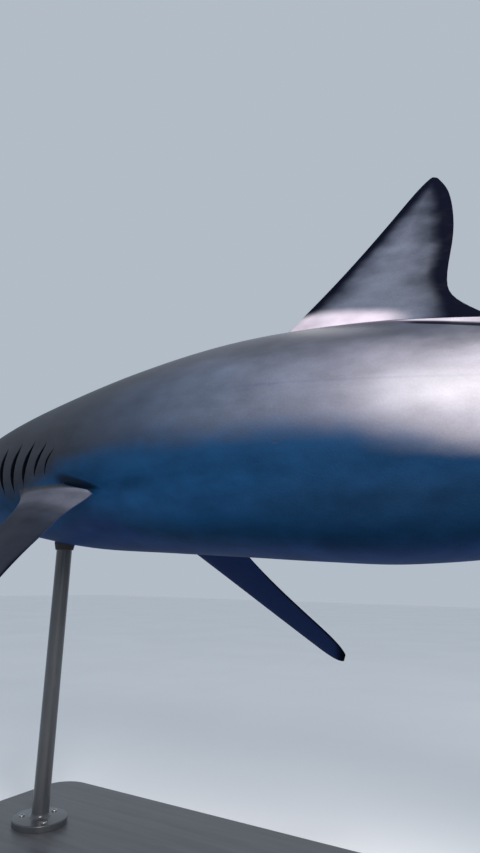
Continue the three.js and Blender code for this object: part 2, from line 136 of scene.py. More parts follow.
# Distance from the snout, heights of back and belly, half width.
TRUNK = (
    (0.000, -0.009, -0.009, 0.000),
    (0.024, 0.015, -0.027, 0.036),
    (0.072, 0.033, -0.041, 0.064),
    (0.144, 0.052, -0.058, 0.089),
    (0.216, 0.067, -0.076, 0.106),
    (0.288, 0.079, -0.094, 0.119),
    (0.432, 0.102, -0.121, 0.137),
    (0.564, 0.119, -0.138, 0.146),
    (0.720, 0.137, -0.147, 0.152),
    (0.852, 0.147, -0.154, 0.154),
    (0.960, 0.147, -0.160, 0.149),
    (1.068, 0.140, -0.163, 0.138),
    (1.200, 0.124, -0.151, 0.118),
    (1.344, 0.100, -0.118, 0.092),
    (1.488, 0.077, -0.084, 0.068),
    (1.632, 0.056, -0.057, 0.049),
    (1.776, 0.042, -0.043, 0.036),
)
SNOUT_SQUARENESS = 0.74
SNOUT_WAIST = 0.44
SNOUT_END = 0.460
STALK_END = TRUNK[-1][0]
LEAST = 1e-4  # keeps a division finite where the snout comes to a point
SAME = 1e-6  # rings closer than this are one


def clamp(value):
    return min(max(value, 0.0), 1.0)


def ramp(value, low, high):
    """0 below low, 1 above high, and a smooth step between."""
    share = clamp((value - low) / (high - low))
    return share * share * (3 - 2 * share)


def curve_through(keys, values, at):
    """A smooth curve through values that stand at keys."""
    last = len(keys) - 1
    i = 0
    while i < last - 1 and at > keys[i + 1]:
        i += 1

    def slope(k):
        before, after = max(k - 1, 0), min(k + 1, last)
        return (values[after] - values[before]) / (keys[after] - keys[before])

    span = keys[i + 1] - keys[i]
    u = (at - keys[i]) / span
    ends = (1 + 2 * u) * (1 - u) ** 2 * values[i] + u * u * (3 - 2 * u) * values[i + 1]
    return ends + u * (1 - u) ** 2 * span * slope(i) + u * u * (u - 1) * span * slope(i + 1)


trunk_keys = [math.sqrt(row[0]) for row in TRUNK]
back_heights, belly_heights, half_widths = ([row[k] for row in TRUNK] for k in (1, 2, 3))


def trunk_value(values, x):
    return curve_through(trunk_keys, values, math.sqrt(min(max(x, 0.0), STALK_END)))


def trunk_section(x):
    """Back, belly, half width, widest level and squareness of the trunk's lower half."""
    top, bottom, half = (trunk_value(values, x) for values in (back_heights, belly_heights, half_widths))
    roundness = ramp(x, 0.0, SNOUT_END)
    waist = mix(bottom, top, mix(SNOUT_WAIST, 0.5, roundness))
    return top, bottom, half, waist, mix(SNOUT_SQUARENESS, 1.0, roundness)


def on_trunk(x, column, lift=0.0):
    """A point of the trunk's surface, or one lifted off it."""
    top, bottom, half, waist, power = trunk_section(x)
    angle = 2 * math.pi * column / COLUMNS
    across, high = math.sin(angle), math.cos(angle)
    if high >= 0:
        reach = top - waist
        y, z = half * across, waist + reach * high
    else:
        reach = waist - bottom
        y = half * math.copysign(abs(across) ** power, across)
        z = waist - reach * abs(high) ** power
    out = Vector((0, across / max(half, LEAST), high / max(reach, LEAST)))
    return Vector((x, y, z)) + out.normalized() * lift


def side_at(x, z):
    """The trunk's half width at a height."""
    top, bottom, half, waist, power = trunk_section(x)
    if z >= waist:
        return half * math.sqrt(max(1 - ((z - waist) / (top - waist)) ** 2, 0.0))
    share = clamp((waist - z) / (waist - bottom)) ** (1 / power)
    return half * math.sqrt(1 - share * share) ** power


def filled(stops, step):
    """The stops, with even steps of about that length between them."""
    places = [stops[0]]
    for a, b in zip(stops, stops[1:]):
        parts = max(round((b - a) / step), 1)
        places += [mix(a, b, k / parts) for k in range(1, parts + 1)]
    return places


# Gill slits: foot, how far the top lies behind it, heights of both ends, half width, and the columns they
# cross.
GILLS = (
    {"x": 0.471, "lean": 0.012, "low": -0.058, "high": 0.014, "half": 0.0064, "columns": (14, 19)},
    {"x": 0.502, "lean": 0.024, "low": -0.058, "high": 0.015, "half": 0.0066, "columns": (14, 19)},
    {"x": 0.536, "lean": 0.028, "low": -0.054, "high": 0.014, "half": 0.0060, "columns": (14, 19)},
    {"x": 0.567, "lean": 0.030, "low": -0.044, "high": 0.009, "half": 0.0046, "columns": (15, 18)},
    {"x": 0.594, "lean": 0.026, "low": -0.035, "high": -0.003, "half": 0.0026, "columns": (15, 18)},
)
GILL_BOW = 0.007
GILL_STRIP = 0.004  # half the distance between a slit's two rings before they are drawn together
GILL_LIP = 0.0022  # from a slit's edge to the ring that keeps its lip firm
GILL_LEAST = 0.0003  # half the width left at a slit's ends
GILL_TAPER = 0.85
GILL_COLUMN = 17
GILL_REACH = 6  # how many columns either side of that one the slits draw up or down
# Where the rings begin to bow round the mouth, its front and corners, the lower jaw's first ring, how many
# columns half of it crosses and over how many more the bow fades.
MOUTH = {"from": 0.050, "front": 0.184, "corner": 0.286, "jaw": 0.197, "half": 10, "fade": 8}
JAW_BOW = 0.97
JAW_HINGE = 0.300
JAW_DROP = 0.085
# A nostril's middle and column, how many columns half of it crosses and over how many its slant fades, how
# far the slant moves each column and how near the nostril it begins, half its width in the middle and at its
# ends, and how far from the middle its two rings are laid.
NOSTRIL = {
    "x": 0.096, "column": 26, "reach": 2, "fade": 5, "slant": 0.005135, "length": 0.034, "half": 0.0042,
    "least": 0.0006, "ring": 0.004,
}
# Fins that grow from the trunk: where the root begins, its length and column, half the width and the lift of
# its flared foot, and by how many columns it is moved down the flank.
ROOTS = {
    "first_dorsal": {"x": 0.883, "base": 0.204, "column": 0, "foot": 0.0225, "lift": 0.0070, "slide": 0.0},
    "second_dorsal": {"x": 1.528, "base": 0.070, "column": 0, "foot": 0.0080, "lift": 0.0020, "slide": 0.0},
    "anal": {"x": 1.512, "base": 0.094, "column": BELLY, "foot": 0.0090, "lift": 0.0020, "slide": 0.0},
    "pectoral": {"x": 0.527, "base": 0.099, "column": 20, "foot": 0.0150, "lift": 0.0040, "slide": 0.65},
    "pelvic": {"x": 1.204, "base": 0.112, "column": 24, "foot": 0.0110, "lift": 0.0030, "slide": 0.0},
}
# How much of the lift and the slide each column takes, counted from the root's middle.
LIFT_SHARES = (1.0, 0.8, 0.22, 0.0)
SLIDE_SHARES = (1.0, 1.0, 0.7, 0.35)
ROOT_REACH = len(LIFT_SHARES)
SNOUT_RINGS = 9
HEAD_FROM = 0.060
NECK_FROM = 0.430
GILLS_END = 0.660
SHOULDER = 0.720
HEAD_STEP = 0.0075
NECK_STEP = 0.0100
TRUNK_STEP = 0.0120

gill_middles = [gill["x"] + gill["lean"] / 2 - GILL_BOW for gill in GILLS]
gill_offsets = (-GILL_STRIP - GILL_LIP, -GILL_STRIP, GILL_STRIP, GILL_STRIP + GILL_LIP)
gill_rings = [middle + offset for middle in gill_middles for offset in gill_offsets]
nostril_rings = [NOSTRIL["x"] - NOSTRIL["ring"], NOSTRIL["x"] + NOSTRIL["ring"]]
root_ends = sorted({root["x"] + length for root in ROOTS.values() for length in (0, root["base"])})
snout_rings = [HEAD_FROM * (k / SNOUT_RINGS) ** 2 for k in range(1, SNOUT_RINGS)]
head_rings = filled([HEAD_FROM, *nostril_rings, MOUTH["front"], MOUTH["jaw"], NECK_FROM], HEAD_STEP)
neck_rings = filled([NECK_FROM, *gill_rings, root_ends[1]], NECK_STEP)
trunk_rings = filled([root_ends[1], SHOULDER, *root_ends[2:], STALK_END], TRUNK_STEP)
RINGS = snout_rings + head_rings + neck_rings[1:] + trunk_rings[1:]


def ring_at(x):
    return min(range(len(RINGS)), key=lambda k: abs(RINGS[k] - x))


def half_turned(column):
    """The column as it lies on the right flank, from 0 on the back to 32 under the belly."""
    return min(column % COLUMNS, -column % COLUMNS)


def mouth_shift(x, column):
    """How far the rings bow back round the mouth."""
    if x < MOUTH["front"]:
        reach = ramp(x, MOUTH["from"], MOUTH["front"])
    else:
        reach = 1 - ramp(x, MOUTH["front"] - 0.04, NECK_FROM)
        if x >= MOUTH["jaw"] - SAME:
            reach *= JAW_BOW
    reach *= MOUTH["corner"] - MOUTH["front"]
    share = (BELLY - half_turned(column)) / MOUTH["half"]
    if share <= 1:
        return reach * share * share
    past = (share - 1) * MOUTH["half"] / MOUTH["fade"]
    return reach * 0.5 * (1 + math.cos(math.pi * min(past, 1.0)))


def nostril_shift(x, column):
    """How far the rings turn and part at a nostril."""
    offset = half_turned(column) - NOSTRIL["column"]
    away = x - NOSTRIL["x"]
    width = max(1 - (offset / NOSTRIL["fade"]) ** 2, 0.0)
    near = max(1 - abs(away) / NOSTRIL["length"], 0.0)
    slanted = -NOSTRIL["slant"] * offset * width * near
    if abs(away) > NOSTRIL["ring"] + SAME or abs(offset) > NOSTRIL["reach"]:
        return slanted
    opening = NOSTRIL["half"] * (1 - (offset / NOSTRIL["reach"]) ** 2) + NOSTRIL["least"]
    return slanted + math.copysign(1.0, away) * (opening - NOSTRIL["ring"])


def up_slit(gill, column):
    """How far up a slit a column crosses it: 0 at the foot, 1 at the top, and beyond them past its ends."""
    first, last = gill["columns"]
    return (last - half_turned(column)) / (last - first)


def gill_shift(x, column):
    """How far the gills move a vertex back, and the height that they draw it to, and how strongly."""
    lines = [NECK_FROM, *gill_middles, GILLS_END]
    if not lines[0] < x < lines[-1]:
        return 0.0, 0.0, 0.0
    after = next(k for k, line in enumerate(lines) if line > x)
    share = (x - lines[after - 1]) / (lines[after] - lines[after - 1])
    moved, height, strength = 0.0, 0.0, 0.0
    for index, weight in ((after - 2, 1 - share), (after - 1, share)):
        if 0 <= index < len(GILLS):
            gill = GILLS[index]
            level = up_slit(gill, column)
            bow = GILL_BOW * (1 - math.sin(math.pi * clamp(level)))
            weight *= 1 - ramp(abs(level - 0.5), 0.5, 1.5)
            moved += (gill["lean"] * (clamp(level) - 0.5) + bow) * weight
            height += mix(gill["low"], gill["high"], level) * weight
            strength += weight
    return moved, height / max(strength, SAME), strength


def gill_parting(x, column):
    """How far a lip of a gill slit stands from where its ring was laid."""
    for gill, middle in zip(GILLS, gill_middles):
        if abs(x - middle) < GILL_STRIP + GILL_LIP + SAME:
            level = up_slit(gill, column)
            opening = gill["half"] * math.sin(math.pi * clamp(level)) ** GILL_TAPER + GILL_LEAST
            fade = 1 - ramp(abs(level - 0.5), 0.5, 1.3)
            return (opening - GILL_STRIP) * fade * (1 if x > middle else -1)
    return 0.0


def root_shift(x, column):
    """How far a fin's root spreads the columns beside it, and how far it lifts them off the trunk."""
    for root in ROOTS.values():
        offset = half_turned(column) - root["column"]
        start, end = root["x"], root["x"] + root["base"]
        near = ramp(x, start - 0.030, start + 0.010) * (1 - ramp(x, end - 0.004, end + 0.034))
        if abs(offset) >= ROOT_REACH or near <= 0:
            continue
        risen = ramp(x, start - 0.004, start + 0.3 * root["base"]) * (1 - ramp(x, end - 0.010, end + 0.020))
        top, bottom, wide, _, _ = trunk_section(x)
        column_width = 2 * math.pi * math.sqrt((((top - bottom) / 2) ** 2 + wide ** 2) / 2) / COLUMNS
        foot = root["foot"] / column_width
        beside = max(abs(offset) - 1, 0) / (ROOT_REACH - 1)
        spread = mix(foot, ROOT_REACH, beside) - abs(offset) if offset else 0.0
        outward = spread * (1 if offset > 0 else -1) + root["slide"] * SLIDE_SHARES[abs(offset)]
        flank = 1 if column % COLUMNS <= BELLY else -1
        return flank * outward * near, root["lift"] * LIFT_SHARES[abs(offset)] * risen
    return 0.0, 0.0


RIDGE_HEIGHT = 0.0026  # the low ridge along the back between the dorsal fins
# The notches above and below the tail's root.
PIT = {"x": 1.764, "length": 0.009, "columns": 4, "depth": 0.0045}


def skin_point(x, column):
    """Where a vertex of the trunk's tube goes."""
    back = half_turned(column)
    under = BELLY - back
    aside, lift = root_shift(x, column)
    moved, height, strength = gill_shift(x, column)
    moved += mouth_shift(x, column) + nostril_shift(x, column) + gill_parting(x, column)
    place = on_trunk(x + moved, column + aside, lift)
    if strength > SAME and lift == 0 and abs(back - GILL_COLUMN) < GILL_REACH:
        z = mix(place.z, height, min(strength, 1.0))
        place = Vector((place.x, math.copysign(side_at(place.x, z), place.y), z))
    if column == 0:
        place.z += RIDGE_HEIGHT * ramp(x, 1.10, 1.16) * (1 - ramp(x, 1.48, 1.52))
    dent = PIT["depth"] * math.exp(-(((x - PIT["x"]) / PIT["length"]) ** 2))
    place.z -= dent * max(1 - (back / PIT["columns"]) ** 2, 0.0)
    place.z += 0.5 * dent * max(1 - (under / PIT["columns"]) ** 2, 0.0)
    jaw_share = under / MOUTH["half"]
    if x > MOUTH["jaw"] - SAME and place.x < JAW_HINGE and jaw_share < 1:
        place.z -= JAW_DROP * (JAW_HINGE - place.x) * (1 - jaw_share ** 4)
    return place


# ---------------------------------------------------------------- the skin's mesh
# The tube is a sphere's rings and columns drawn out over the trunk and on into the upper lobe of the tail.
# Fins are then extruded from strips of its faces, and the openings of the head are pushed into it.

# Upper lobe, back and up from where the tail fin begins: share of the upper edge, the lower edge's place, and
# half the thickness.
LOBE = (
    (0.00, 0.000, -0.085, 0.0360),
    (0.10, 0.072, -0.060, 0.0270),
    (0.22, 0.148, -0.024, 0.0200),
    (0.33, 0.208, 0.014, 0.0150),
    (0.46, 0.290, 0.092, 0.0110),
    (0.58, 0.358, 0.155, 0.0090),
    (0.69, 0.404, 0.198, 0.0075),
    (0.745, 0.444, 0.203, 0.0065),
    (0.80, 0.468, 0.216, 0.0055),
    (0.90, 0.500, 0.270, 0.0040),
    (0.97, 0.517, 0.320, 0.0030),
    (1.00, 0.523, 0.3380, 0.0018),
)
LOBE_PARTS = (6, 6, 6, 5, 4, 3, 3, 3, 3, 3, 2)
LOBE_TOP = 0.042
LOBE_PULL = (0.250, 0.175)
LOBE_TIP = (0.5225, 0.3388)
LOWER_ROOT = {"from": 0.022, "to": 0.208, "half": 0.0120, "least": 0.35}
LOBE_DOWN = 0.30
EDGE = 0.0006  # half the thickness of a fin's edge
CLEAR = 0.06  # added to the distance from a fin's edge near the root, where no dusky margin is wanted
ORIGIN = (0.0, 0.0)
WHOLE_MARKS = ("ring", "column", "grown")
# Among the shares, the marks of the openings say how dark their painted shade is.
SHARE_MARKS = ("down", "edge", "recess_shade", "gum_and_throat_shade", "under")


def bezier(start, pull, end, t):
    return tuple((1 - t) ** 2 * a + 2 * t * (1 - t) * b + t * t * c for a, b, c in zip(start, pull, end))


def foil(share, flat):
    """Half the thickness at a share of the chord, for a section that is round at 0 and a fin's at 1."""
    return mix(2 * math.sqrt(share * (1 - share)), 2.6 * math.sqrt(share) * (1 - share), flat)


lobe_rows = [k + part / parts for k, parts in enumerate(LOBE_PARTS) for part in range(parts)][1:]
lobe_rows.append(len(LOBE) - 1)


def lobe_section(row, column):
    """Upper edge, lower edge, half the thickness, and the share of the chord at which a column lies."""
    share, rear_x, rear_z, half = (curve_through(range(len(LOBE)), values, row) for values in zip(*LOBE))
    chord = (1 - math.cos(2 * math.pi * column / COLUMNS)) / 2
    return bezier(ORIGIN, LOBE_PULL, LOBE_TIP, share), (rear_x, rear_z), half, chord


def lobe_point(row, column):
    lead, rear, half, chord = lobe_section(row, column)
    thick = half * foil(chord, min(row / 4, 1.0))
    root = (rear[0] - LOWER_ROOT["from"]) / (LOWER_ROOT["to"] - LOWER_ROOT["from"])
    if -0.2 < root < 1 and chord > 0.5:
        inside = clamp(root)
        blunt = LOWER_ROOT["half"] * mix(LOWER_ROOT["least"], 1.0, foil(inside, 1.0))
        blunt *= ramp(root, -0.2, 0.1) * (1 - inside ** 4) * ramp(chord, 0.5, 0.9)
        thick = max(thick, blunt)
    across = thick + EDGE * min(row / 2, 1.0)
    side = 0 if column % BELLY == 0 else (1 if column < BELLY else -1)
    back, up = (mix(a, b, chord) for a, b in zip(lead, rear))
    return Vector((STALK_END + back, side * across, LOBE_TOP + up))


ring_count = len(RINGS) + len(lobe_rows)
add_sphere = bpy.ops.mesh.primitive_uv_sphere_add
skin = begin(add_sphere, "shark_skin", segments=COLUMNS, ring_count=ring_count + 1, radius=1.0)
mesh = skin.data
for names, kind in ((WHOLE_MARKS, "INT"), (SHARE_MARKS, "FLOAT")):
    for name in names:
        mesh.attributes.new(name, kind, "POINT")

for vertex in mesh.vertices:
    turn = vertex.co.copy()
    ring = round(math.acos(min(max(turn.z, -1.0), 1.0)) / math.pi * (ring_count + 1)) - 1
    column = round(math.atan2(turn.y, turn.x) / (2 * math.pi) * COLUMNS) % COLUMNS
    down = half_turned(column) / BELLY
    edge = 1.0
    if ring < 0:
        vertex.co = on_trunk(0.0, 0)
        down = 0.5
    elif ring < len(RINGS):
        vertex.co = skin_point(RINGS[ring], column)
    elif ring < ring_count:
        row = lobe_rows[ring - len(RINGS)]
        vertex.co = lobe_point(row, column)
        lead, rear, _, chord = lobe_section(row, column)
        margin = math.dist(lead, rear) * (1 - chord) + CLEAR * (1 - ramp(row, 1.5, 4.5))
        edge = mix(1.0, margin, ramp(row, 0.0, 2.5))
        down = mix(down, LOBE_DOWN, ramp(row, 0.0, 2.0))
    else:
        vertex.co = lobe_point(lobe_rows[-1], 0) + Vector((0.001, 0, 0.0005))
        edge = 0.0
    for name, value in (("ring", ring), ("column", column), ("down", down), ("edge", edge)):
        mesh.attributes[name].data[vertex.index].value = value

bpy.ops.object.mode_set(mode="EDIT")
bpy.ops.mesh.select_mode(type="FACE")
bpy.ops.mesh.select_all(action="SELECT")
bpy.ops.mesh.normals_make_consistent(inside=False)


def open_skin():
    """The skin's editable mesh and its layers of marks."""
    bm = bmesh.from_edit_mesh(mesh)
    layers = {name: bm.verts.layers.int[name] for name in WHOLE_MARKS}
    layers.update({name: bm.verts.layers.float[name] for name in SHARE_MARKS})
    return bm, layers


def select_strip(first_ring, last_ring, first_column, last_column):
    """Selects the faces of the tube itself between two rings and two columns, and none grown from it."""
    bpy.ops.mesh.select_all(action="DESELECT")
    bm, layers = open_skin()
    width = (last_column - first_column) % COLUMNS
    for face in bm.faces:
        face.select_set(all(
            first_ring <= v[layers["ring"]] <= last_ring
            and (v[layers["column"]] - first_column) % COLUMNS <= width
            and not v[layers["grown"]]
            for v in face.verts
        ))
    bmesh.update_edit_mesh(mesh)


def push_on(shape):
    """Extrudes the selected faces, and gives each new vertex the place and the marks that shape returns."""
    bpy.ops.mesh.extrude_region()
    bm, layers = open_skin()
    for v in bm.verts:
        if v.select:
            v.co, marks = shape(v.co.copy(), v[layers["ring"]], v[layers["column"]])
            v[layers["grown"]] = 1
            for name, value in marks.items():
                v[layers[name]] = value
    bmesh.update_edit_mesh(mesh)


# ---------------------------------------------------------------- the fins
# Firm blades of gristle under the same skin, thick and flared at the root and thin at the rear edge. The
# paired fins curl down towards their tips.

SPANS = (0.04, 0.09, 0.15, 0.22, 0.30, 0.39, 0.48, 0.57, 0.66, 0.75, 0.83, 0.89, 0.935, 0.965, 0.985, 0.996)
FEW_SPANS = (0.05, 0.14, 0.26, 0.39, 0.52, 0.65, 0.77, 0.87, 0.935, 0.975, 0.996)
ROUND_FROM = 0.88
TIP_BLUNTNESS = 2.5
THINNING = 1.5
FLARE_END = 0.16
LEAD_INSET = 0.012
TRAIL_INSET = 0.985
ROOT_CLEARANCE = 0.0022
TIP_CLEARANCE = 0.0022  # how much higher than the root a free rear tip clears the body
FLANK_CLEARANCE = 0.0035
TIP_MARGIN = 0.004  # the least distance from the edge that counts at a fin's tip
ROOT_SUNK = 0.005  # how far an upright fin's base line lies inside the body

# In each: the tip and the pull point of the leading edge; the rear edge by its points, or as a curve from the
# free rear tip; half the thickness at root and tip, and the root's flare; factors on the distances from the
# two edges, which make the dusky margins thinner; and how far down the body's colours the fin lies at its
# root and further out, and by which share of its span it gets there.
PECTORAL = {
    **ROOTS["pectoral"], "y": 0.120, "z": -0.066, "spans": SPANS,
    "tip": (0.159, 0.436), "tip_rear": (0.195, 0.397),
    "lead_pull": (0.066, 0.250), "trail_pull": (0.108, 0.121), "free_tip": (0.182, 0.040), "hollow": 0.026,
    "sweep": 0.195, "droop": 0.66, "curl": 0.35, "incidence": 0.016,
    "root_half": 0.012, "tip_half": 0.002, "flare": 0.005, "rim": (6.0, 4.0), "clear_to": 0.75,
    "down": (0.55, 0.20, 0.06), "down_under": 0.85,
}
PELVIC = {
    **ROOTS["pelvic"], "y": 0.066, "z": -0.108, "spans": FEW_SPANS,
    "tip": (0.108, 0.122), "tip_rear": (0.124, 0.118),
    "lead_pull": (0.034, 0.084), "trail_pull": (0.138, 0.070), "free_tip": (0.206, 0.034), "hollow": 0.004,
    "sweep": 0.10, "droop": 0.72, "curl": 1.0, "incidence": 0.16,
    "root_half": 0.008, "tip_half": 0.0018, "flare": 0.003, "rim": (6.0, 3.0), "clear_to": 0.45,
    "down": (0.55, 0.20, 0.06), "down_under": 0.85,
}
FIRST_DORSAL = {
    **ROOTS["first_dorsal"], "spans": SPANS,
    "lean": 0.05, "lead_pull": (0.112, 0.081), "tip": (0.237, 0.224),
    "rear": ((0.254, 0.219), (0.264, 0.183), (0.264, 0.132), (0.251, 0.072), (0.258, 0.040), (0.306, 0.005)),
    "root_half": 0.016, "tip_half": 0.002, "flare": 0.007, "rim": (1.1, 1.1), "dusky_from": 0.262,
    "down": (0.10, 0.10, 1.0),
}
SECOND_DORSAL = {
    **ROOTS["second_dorsal"], "spans": FEW_SPANS,
    "lean": 0.15, "lead_pull": (0.034, 0.030), "tip": (0.066, 0.045),
    "rear": ((0.074, 0.042), (0.076, 0.034), (0.072, 0.022), (0.084, 0.012), (0.188, 0.004)),
    "root_half": 0.006, "tip_half": 0.0015, "flare": 0.002, "rim": (3.3, 1.5), "dusky_from": 0.110,
    "down": (0.15, 0.15, 1.0),
}
ANAL = {
    **ROOTS["anal"], "spans": FEW_SPANS,
    "lean": -0.17, "lead_pull": (0.036, 0.036), "tip": (0.082, 0.064),
    "rear": ((0.091, 0.060), (0.094, 0.050), (0.086, 0.034), (0.100, 0.020), (0.186, 0.006)),
    "root_half": 0.007, "tip_half": 0.0015, "flare": 0.002, "rim": (3.3, 1.5), "dusky_from": 0.120,
    "down": (0.95, 0.76, 0.5),
}
LOWER_LOBE = {
    "spans": SPANS, "lead": (0.016, -0.082), "lead_pull": (0.058, -0.214), "tip": (0.180, -0.304),
    "free_tip": (0.210, 0.008), "trail_pull": (0.160, -0.100), "tip_rear": (0.194, -0.296), "hollow": 0.0,
    "root_half": 0.012, "tip_half": 0.002, "flare": 0.0, "rim": (2.2, 1.0), "down": (0.50, 0.25, 0.3),
}


def rear_edge(fin, t):
    """A point of a fin's rear edge, from the free rear tip at 0 to the fin's tip at 1."""
    if "rear" in fin:
        at = (1 - t) * (len(fin["rear"]) - 1)
        return [curve_through(range(len(fin["rear"])), values, at) for values in zip(*fin["rear"])]
    back, out = bezier(fin["free_tip"], fin["trail_pull"], fin["tip_rear"], t)
    return back - fin["hollow"] * ramp(t, 0.0, 0.08) * (1 - ramp(t, 0.08, 0.36)), out


def chord_share(u, t, base, chord):
    """How far along a chord a vertex lies: over the root at first, and bunched at both edges further out."""
    over_root = (base * u + max(chord - base, 0.0) * u ** 6) / max(chord, base)
    bunched = mix(LEAD_INSET, TRAIL_INSET, (1 - math.cos(math.pi * u)) / 2)
    return min(max(mix(over_root, bunched, ramp(t, 0.0, 0.35)), LEAD_INSET), TRAIL_INSET)


def grow_fin(fin, first, last, middle, place, under_side=0):
    """Extrudes a fin from the faces beside a column. Its under side, where it has one, is 1 or -1."""
    select_strip(first, last, (middle - 1) % COLUMNS, (middle + 1) % COLUMNS)
    for t in fin["spans"]:
        past = max((t - ROUND_FROM) / (1 - ROUND_FROM), 0.0)
        drawn_in = (1 - (1 - past ** TIP_BLUNTNESS) ** (1 / TIP_BLUNTNESS)) / 2
        a = bezier(fin.get("lead", ORIGIN), fin["lead_pull"], fin["tip"], t)
        b = rear_edge(fin, (t - fin["spans"][0]) / (1 - fin["spans"][0]))
        front = [mix(p, q, drawn_in) for p, q in zip(a, b)]
        rear = [mix(q, p, drawn_in) for p, q in zip(a, b)]
        chord = math.dist(front, rear)
        half = mix(fin["root_half"], fin["tip_half"], 1 - (1 - t) ** THINNING)
        half += fin["flare"] * max(1 - t / FLARE_END, 0.0) ** 2
        from_tip = (1 - t) * math.hypot(*fin["tip"]) + TIP_MARGIN
        from_root = CLEAR * (1 - ramp(t, 0.0, fin.get("clear_to", 0.10)))

        def shape(_, ring, column):
            side = (column - middle + BELLY) % COLUMNS - BELLY
            if side == 0 and ring in (first, last):
                share, thick = float(ring == last), 0.0
            else:
                share = chord_share((ring - first) / (last - first), t, fin.get("base", chord), chord)
                thick = side * (half * foil(share, 1.0) + EDGE)
            back = mix(front[0], rear[0], share)
            spot = place(back, mix(front[1], rear[1], share), thick, half)
            from_lead = share * chord * fin["rim"][0]
            from_rear = (1 - share) * chord * fin["rim"][1]
            margin = min(from_lead, from_rear, from_tip) + from_root
            if "dusky_from" in fin:
                margin = min(margin, max(fin["dusky_from"] - back, 0.0))
            down_root, down_out, by = fin["down"]
            if side * under_side >= 0:
                down_out = fin.get("down_under", down_out)
            under = ramp(t, 0.0, 0.1) * (1 + side * under_side) / 2 if under_side else 0.0
            return spot, {"edge": margin, "down": mix(down_root, down_out, ramp(t, 0.0, by)), "under": under}

        push_on(shape)


def upright_fin(fin):
    """A fin on the back, or one under the belly."""
    way = 1 if fin["column"] == 0 else -1
    level = trunk_value(back_heights if way > 0 else belly_heights, fin["x"]) - ROOT_SUNK * way
    root_end = fin["x"] + fin["base"]

    def place(back, out, thick, _):
        spot = Vector((fin["x"] + back, way * thick, level + way * out - fin["lean"] * back))
        clear = ROOT_CLEARANCE + TIP_CLEARANCE * ramp(spot.x, root_end - 0.010, root_end + 0.020)
        ground = on_trunk(min(spot.x, STALK_END), fin["column"]).z + way * clear
        if (spot.z - ground) * way < 0:
            spot.z = ground
        return spot

    grow_fin(fin, ring_at(fin["x"]), ring_at(root_end), fin["column"], place)


def paired_fin(fin, way):
    """A fin of a pair, on the right flank where way is 1. It runs out along an arc that bends down."""
    def place(a, b, thick, half):
        back = a * math.cos(fin["sweep"]) + b * math.sin(fin["sweep"])
        out = b * math.cos(fin["sweep"]) - a * math.sin(fin["sweep"])
        angle = fin["droop"] + fin["curl"] * out
        above = thick * way
        y = fin["y"] + (math.sin(angle) - math.sin(fin["droop"])) / fin["curl"] - above * math.sin(angle)
        z = fin["z"] + (math.cos(angle) - math.cos(fin["droop"])) / fin["curl"] - above * math.cos(angle)
        z -= back * math.sin(fin["incidence"])
        spot = Vector((fin["x"] + back * math.cos(fin["incidence"]), way * y, z))
        clear = side_at(spot.x, spot.z) + FLANK_CLEARANCE + (half - above) * 0.6
        if abs(spot.y) < clear:
            spot.y = way * clear
        return spot

    middle = fin["column"] * way % COLUMNS
    grow_fin(fin, ring_at(fin["x"]), ring_at(fin["x"] + fin["base"]), middle, place, way)


def lobe_ring(distance):
    """The tube's ring whose lower edge lies nearest a distance behind the start of the tail fin."""
    nearest = min(range(len(lobe_rows)), key=lambda k: abs(lobe_section(lobe_rows[k], 0)[1][0] - distance))
    return len(RINGS) + nearest


def on_lower_lobe(back, up, thick, _):
    return Vector((STALK_END + back, -thick, LOBE_TOP + up))


for fin in (FIRST_DORSAL, SECOND_DORSAL, ANAL):
    upright_fin(fin)
for way in (-1, 1):
    for fin in (PECTORAL, PELVIC):
        paired_fin(fin, way)
grow_fin(LOWER_LOBE, lobe_ring(LOWER_ROOT["from"]), lobe_ring(LOWER_ROOT["to"]), BELLY, on_lower_lobe)

# ---------------------------------------------------------------- gills, mouth, nostrils and eye sockets
# Five gill slits a side, under the loose rear edges of their flaps. The mouth is a wide bow under the head,
# with a throat painted dark as shade and slanting nostrils in front of it. Each eye's round socket has a
# raised rim. The insides of the slits, nostrils and sockets are painted dark as shade.

RIM_CREASE = 0.7
SHORT_EDGE = 0.003  # edges at a slit's ends, too short to crease
# The steps by which each is pushed in, and how dark its painted shade is there.
GILL_STEPS = ((0.0022, 0.6), (0.0058, 1.0), (0.0070, 1.0))
GILL_SLANT = 0.35
MOUTH_STEPS = ((0.003, 0.000, 0.25), (0.009, 0.004, 0.8), (0.014, 0.012, 1.0))  # up and back
MOUTH_NARROWING = 0.8
NOSTRIL_STEPS = ((0.002, 0.3), (0.006, 1.0))


def crease_rim(sharpness):
    """Keeps the rim of the selected faces crisp when the skin is made finer."""
    bm, _ = open_skin()
    crease = bm.edges.layers.float.get("crease_edge") or bm.edges.layers.float.new("crease_edge")
    for edge in bm.edges:
        if sum(face.select for face in edge.link_faces) == 1 and edge.calc_length() > SHORT_EDGE:
            edge[crease] = sharpness
    bmesh.update_edit_mesh(mesh)


for gill, middle in zip(GILLS, gill_middles):
    front = ring_at(middle - GILL_STRIP)
    first, last = gill["columns"]
    for low, high in ((first, last), (COLUMNS - last, COLUMNS - first)):
        select_strip(front, front + 1, low, high)
        crease_rim(RIM_CREASE)
        for step, dark in GILL_STEPS:
            def deepen(place, ring, column):
                inward = Vector((-GILL_SLANT, -math.copysign(1.0, place.y), 0))
                return place + inward * step, {"recess_shade": dark}

            push_on(deepen)

front = ring_at(MOUTH["front"])
select_strip(front, front + 1, BELLY - MOUTH["half"], BELLY + MOUTH["half"])
for step_up, step_back, dark in MOUTH_STEPS:
    def open_mouth(place, ring, column):
        share = min(abs(half_turned(column) - BELLY) / MOUTH["half"], 1.0)
        inward = -math.copysign(step_up * MOUTH_NARROWING * share, place.y)
        return place + Vector((step_back * (1 - share), inward, step_up)), {"gum_and_throat_shade": dark}

    push_on(open_mouth)

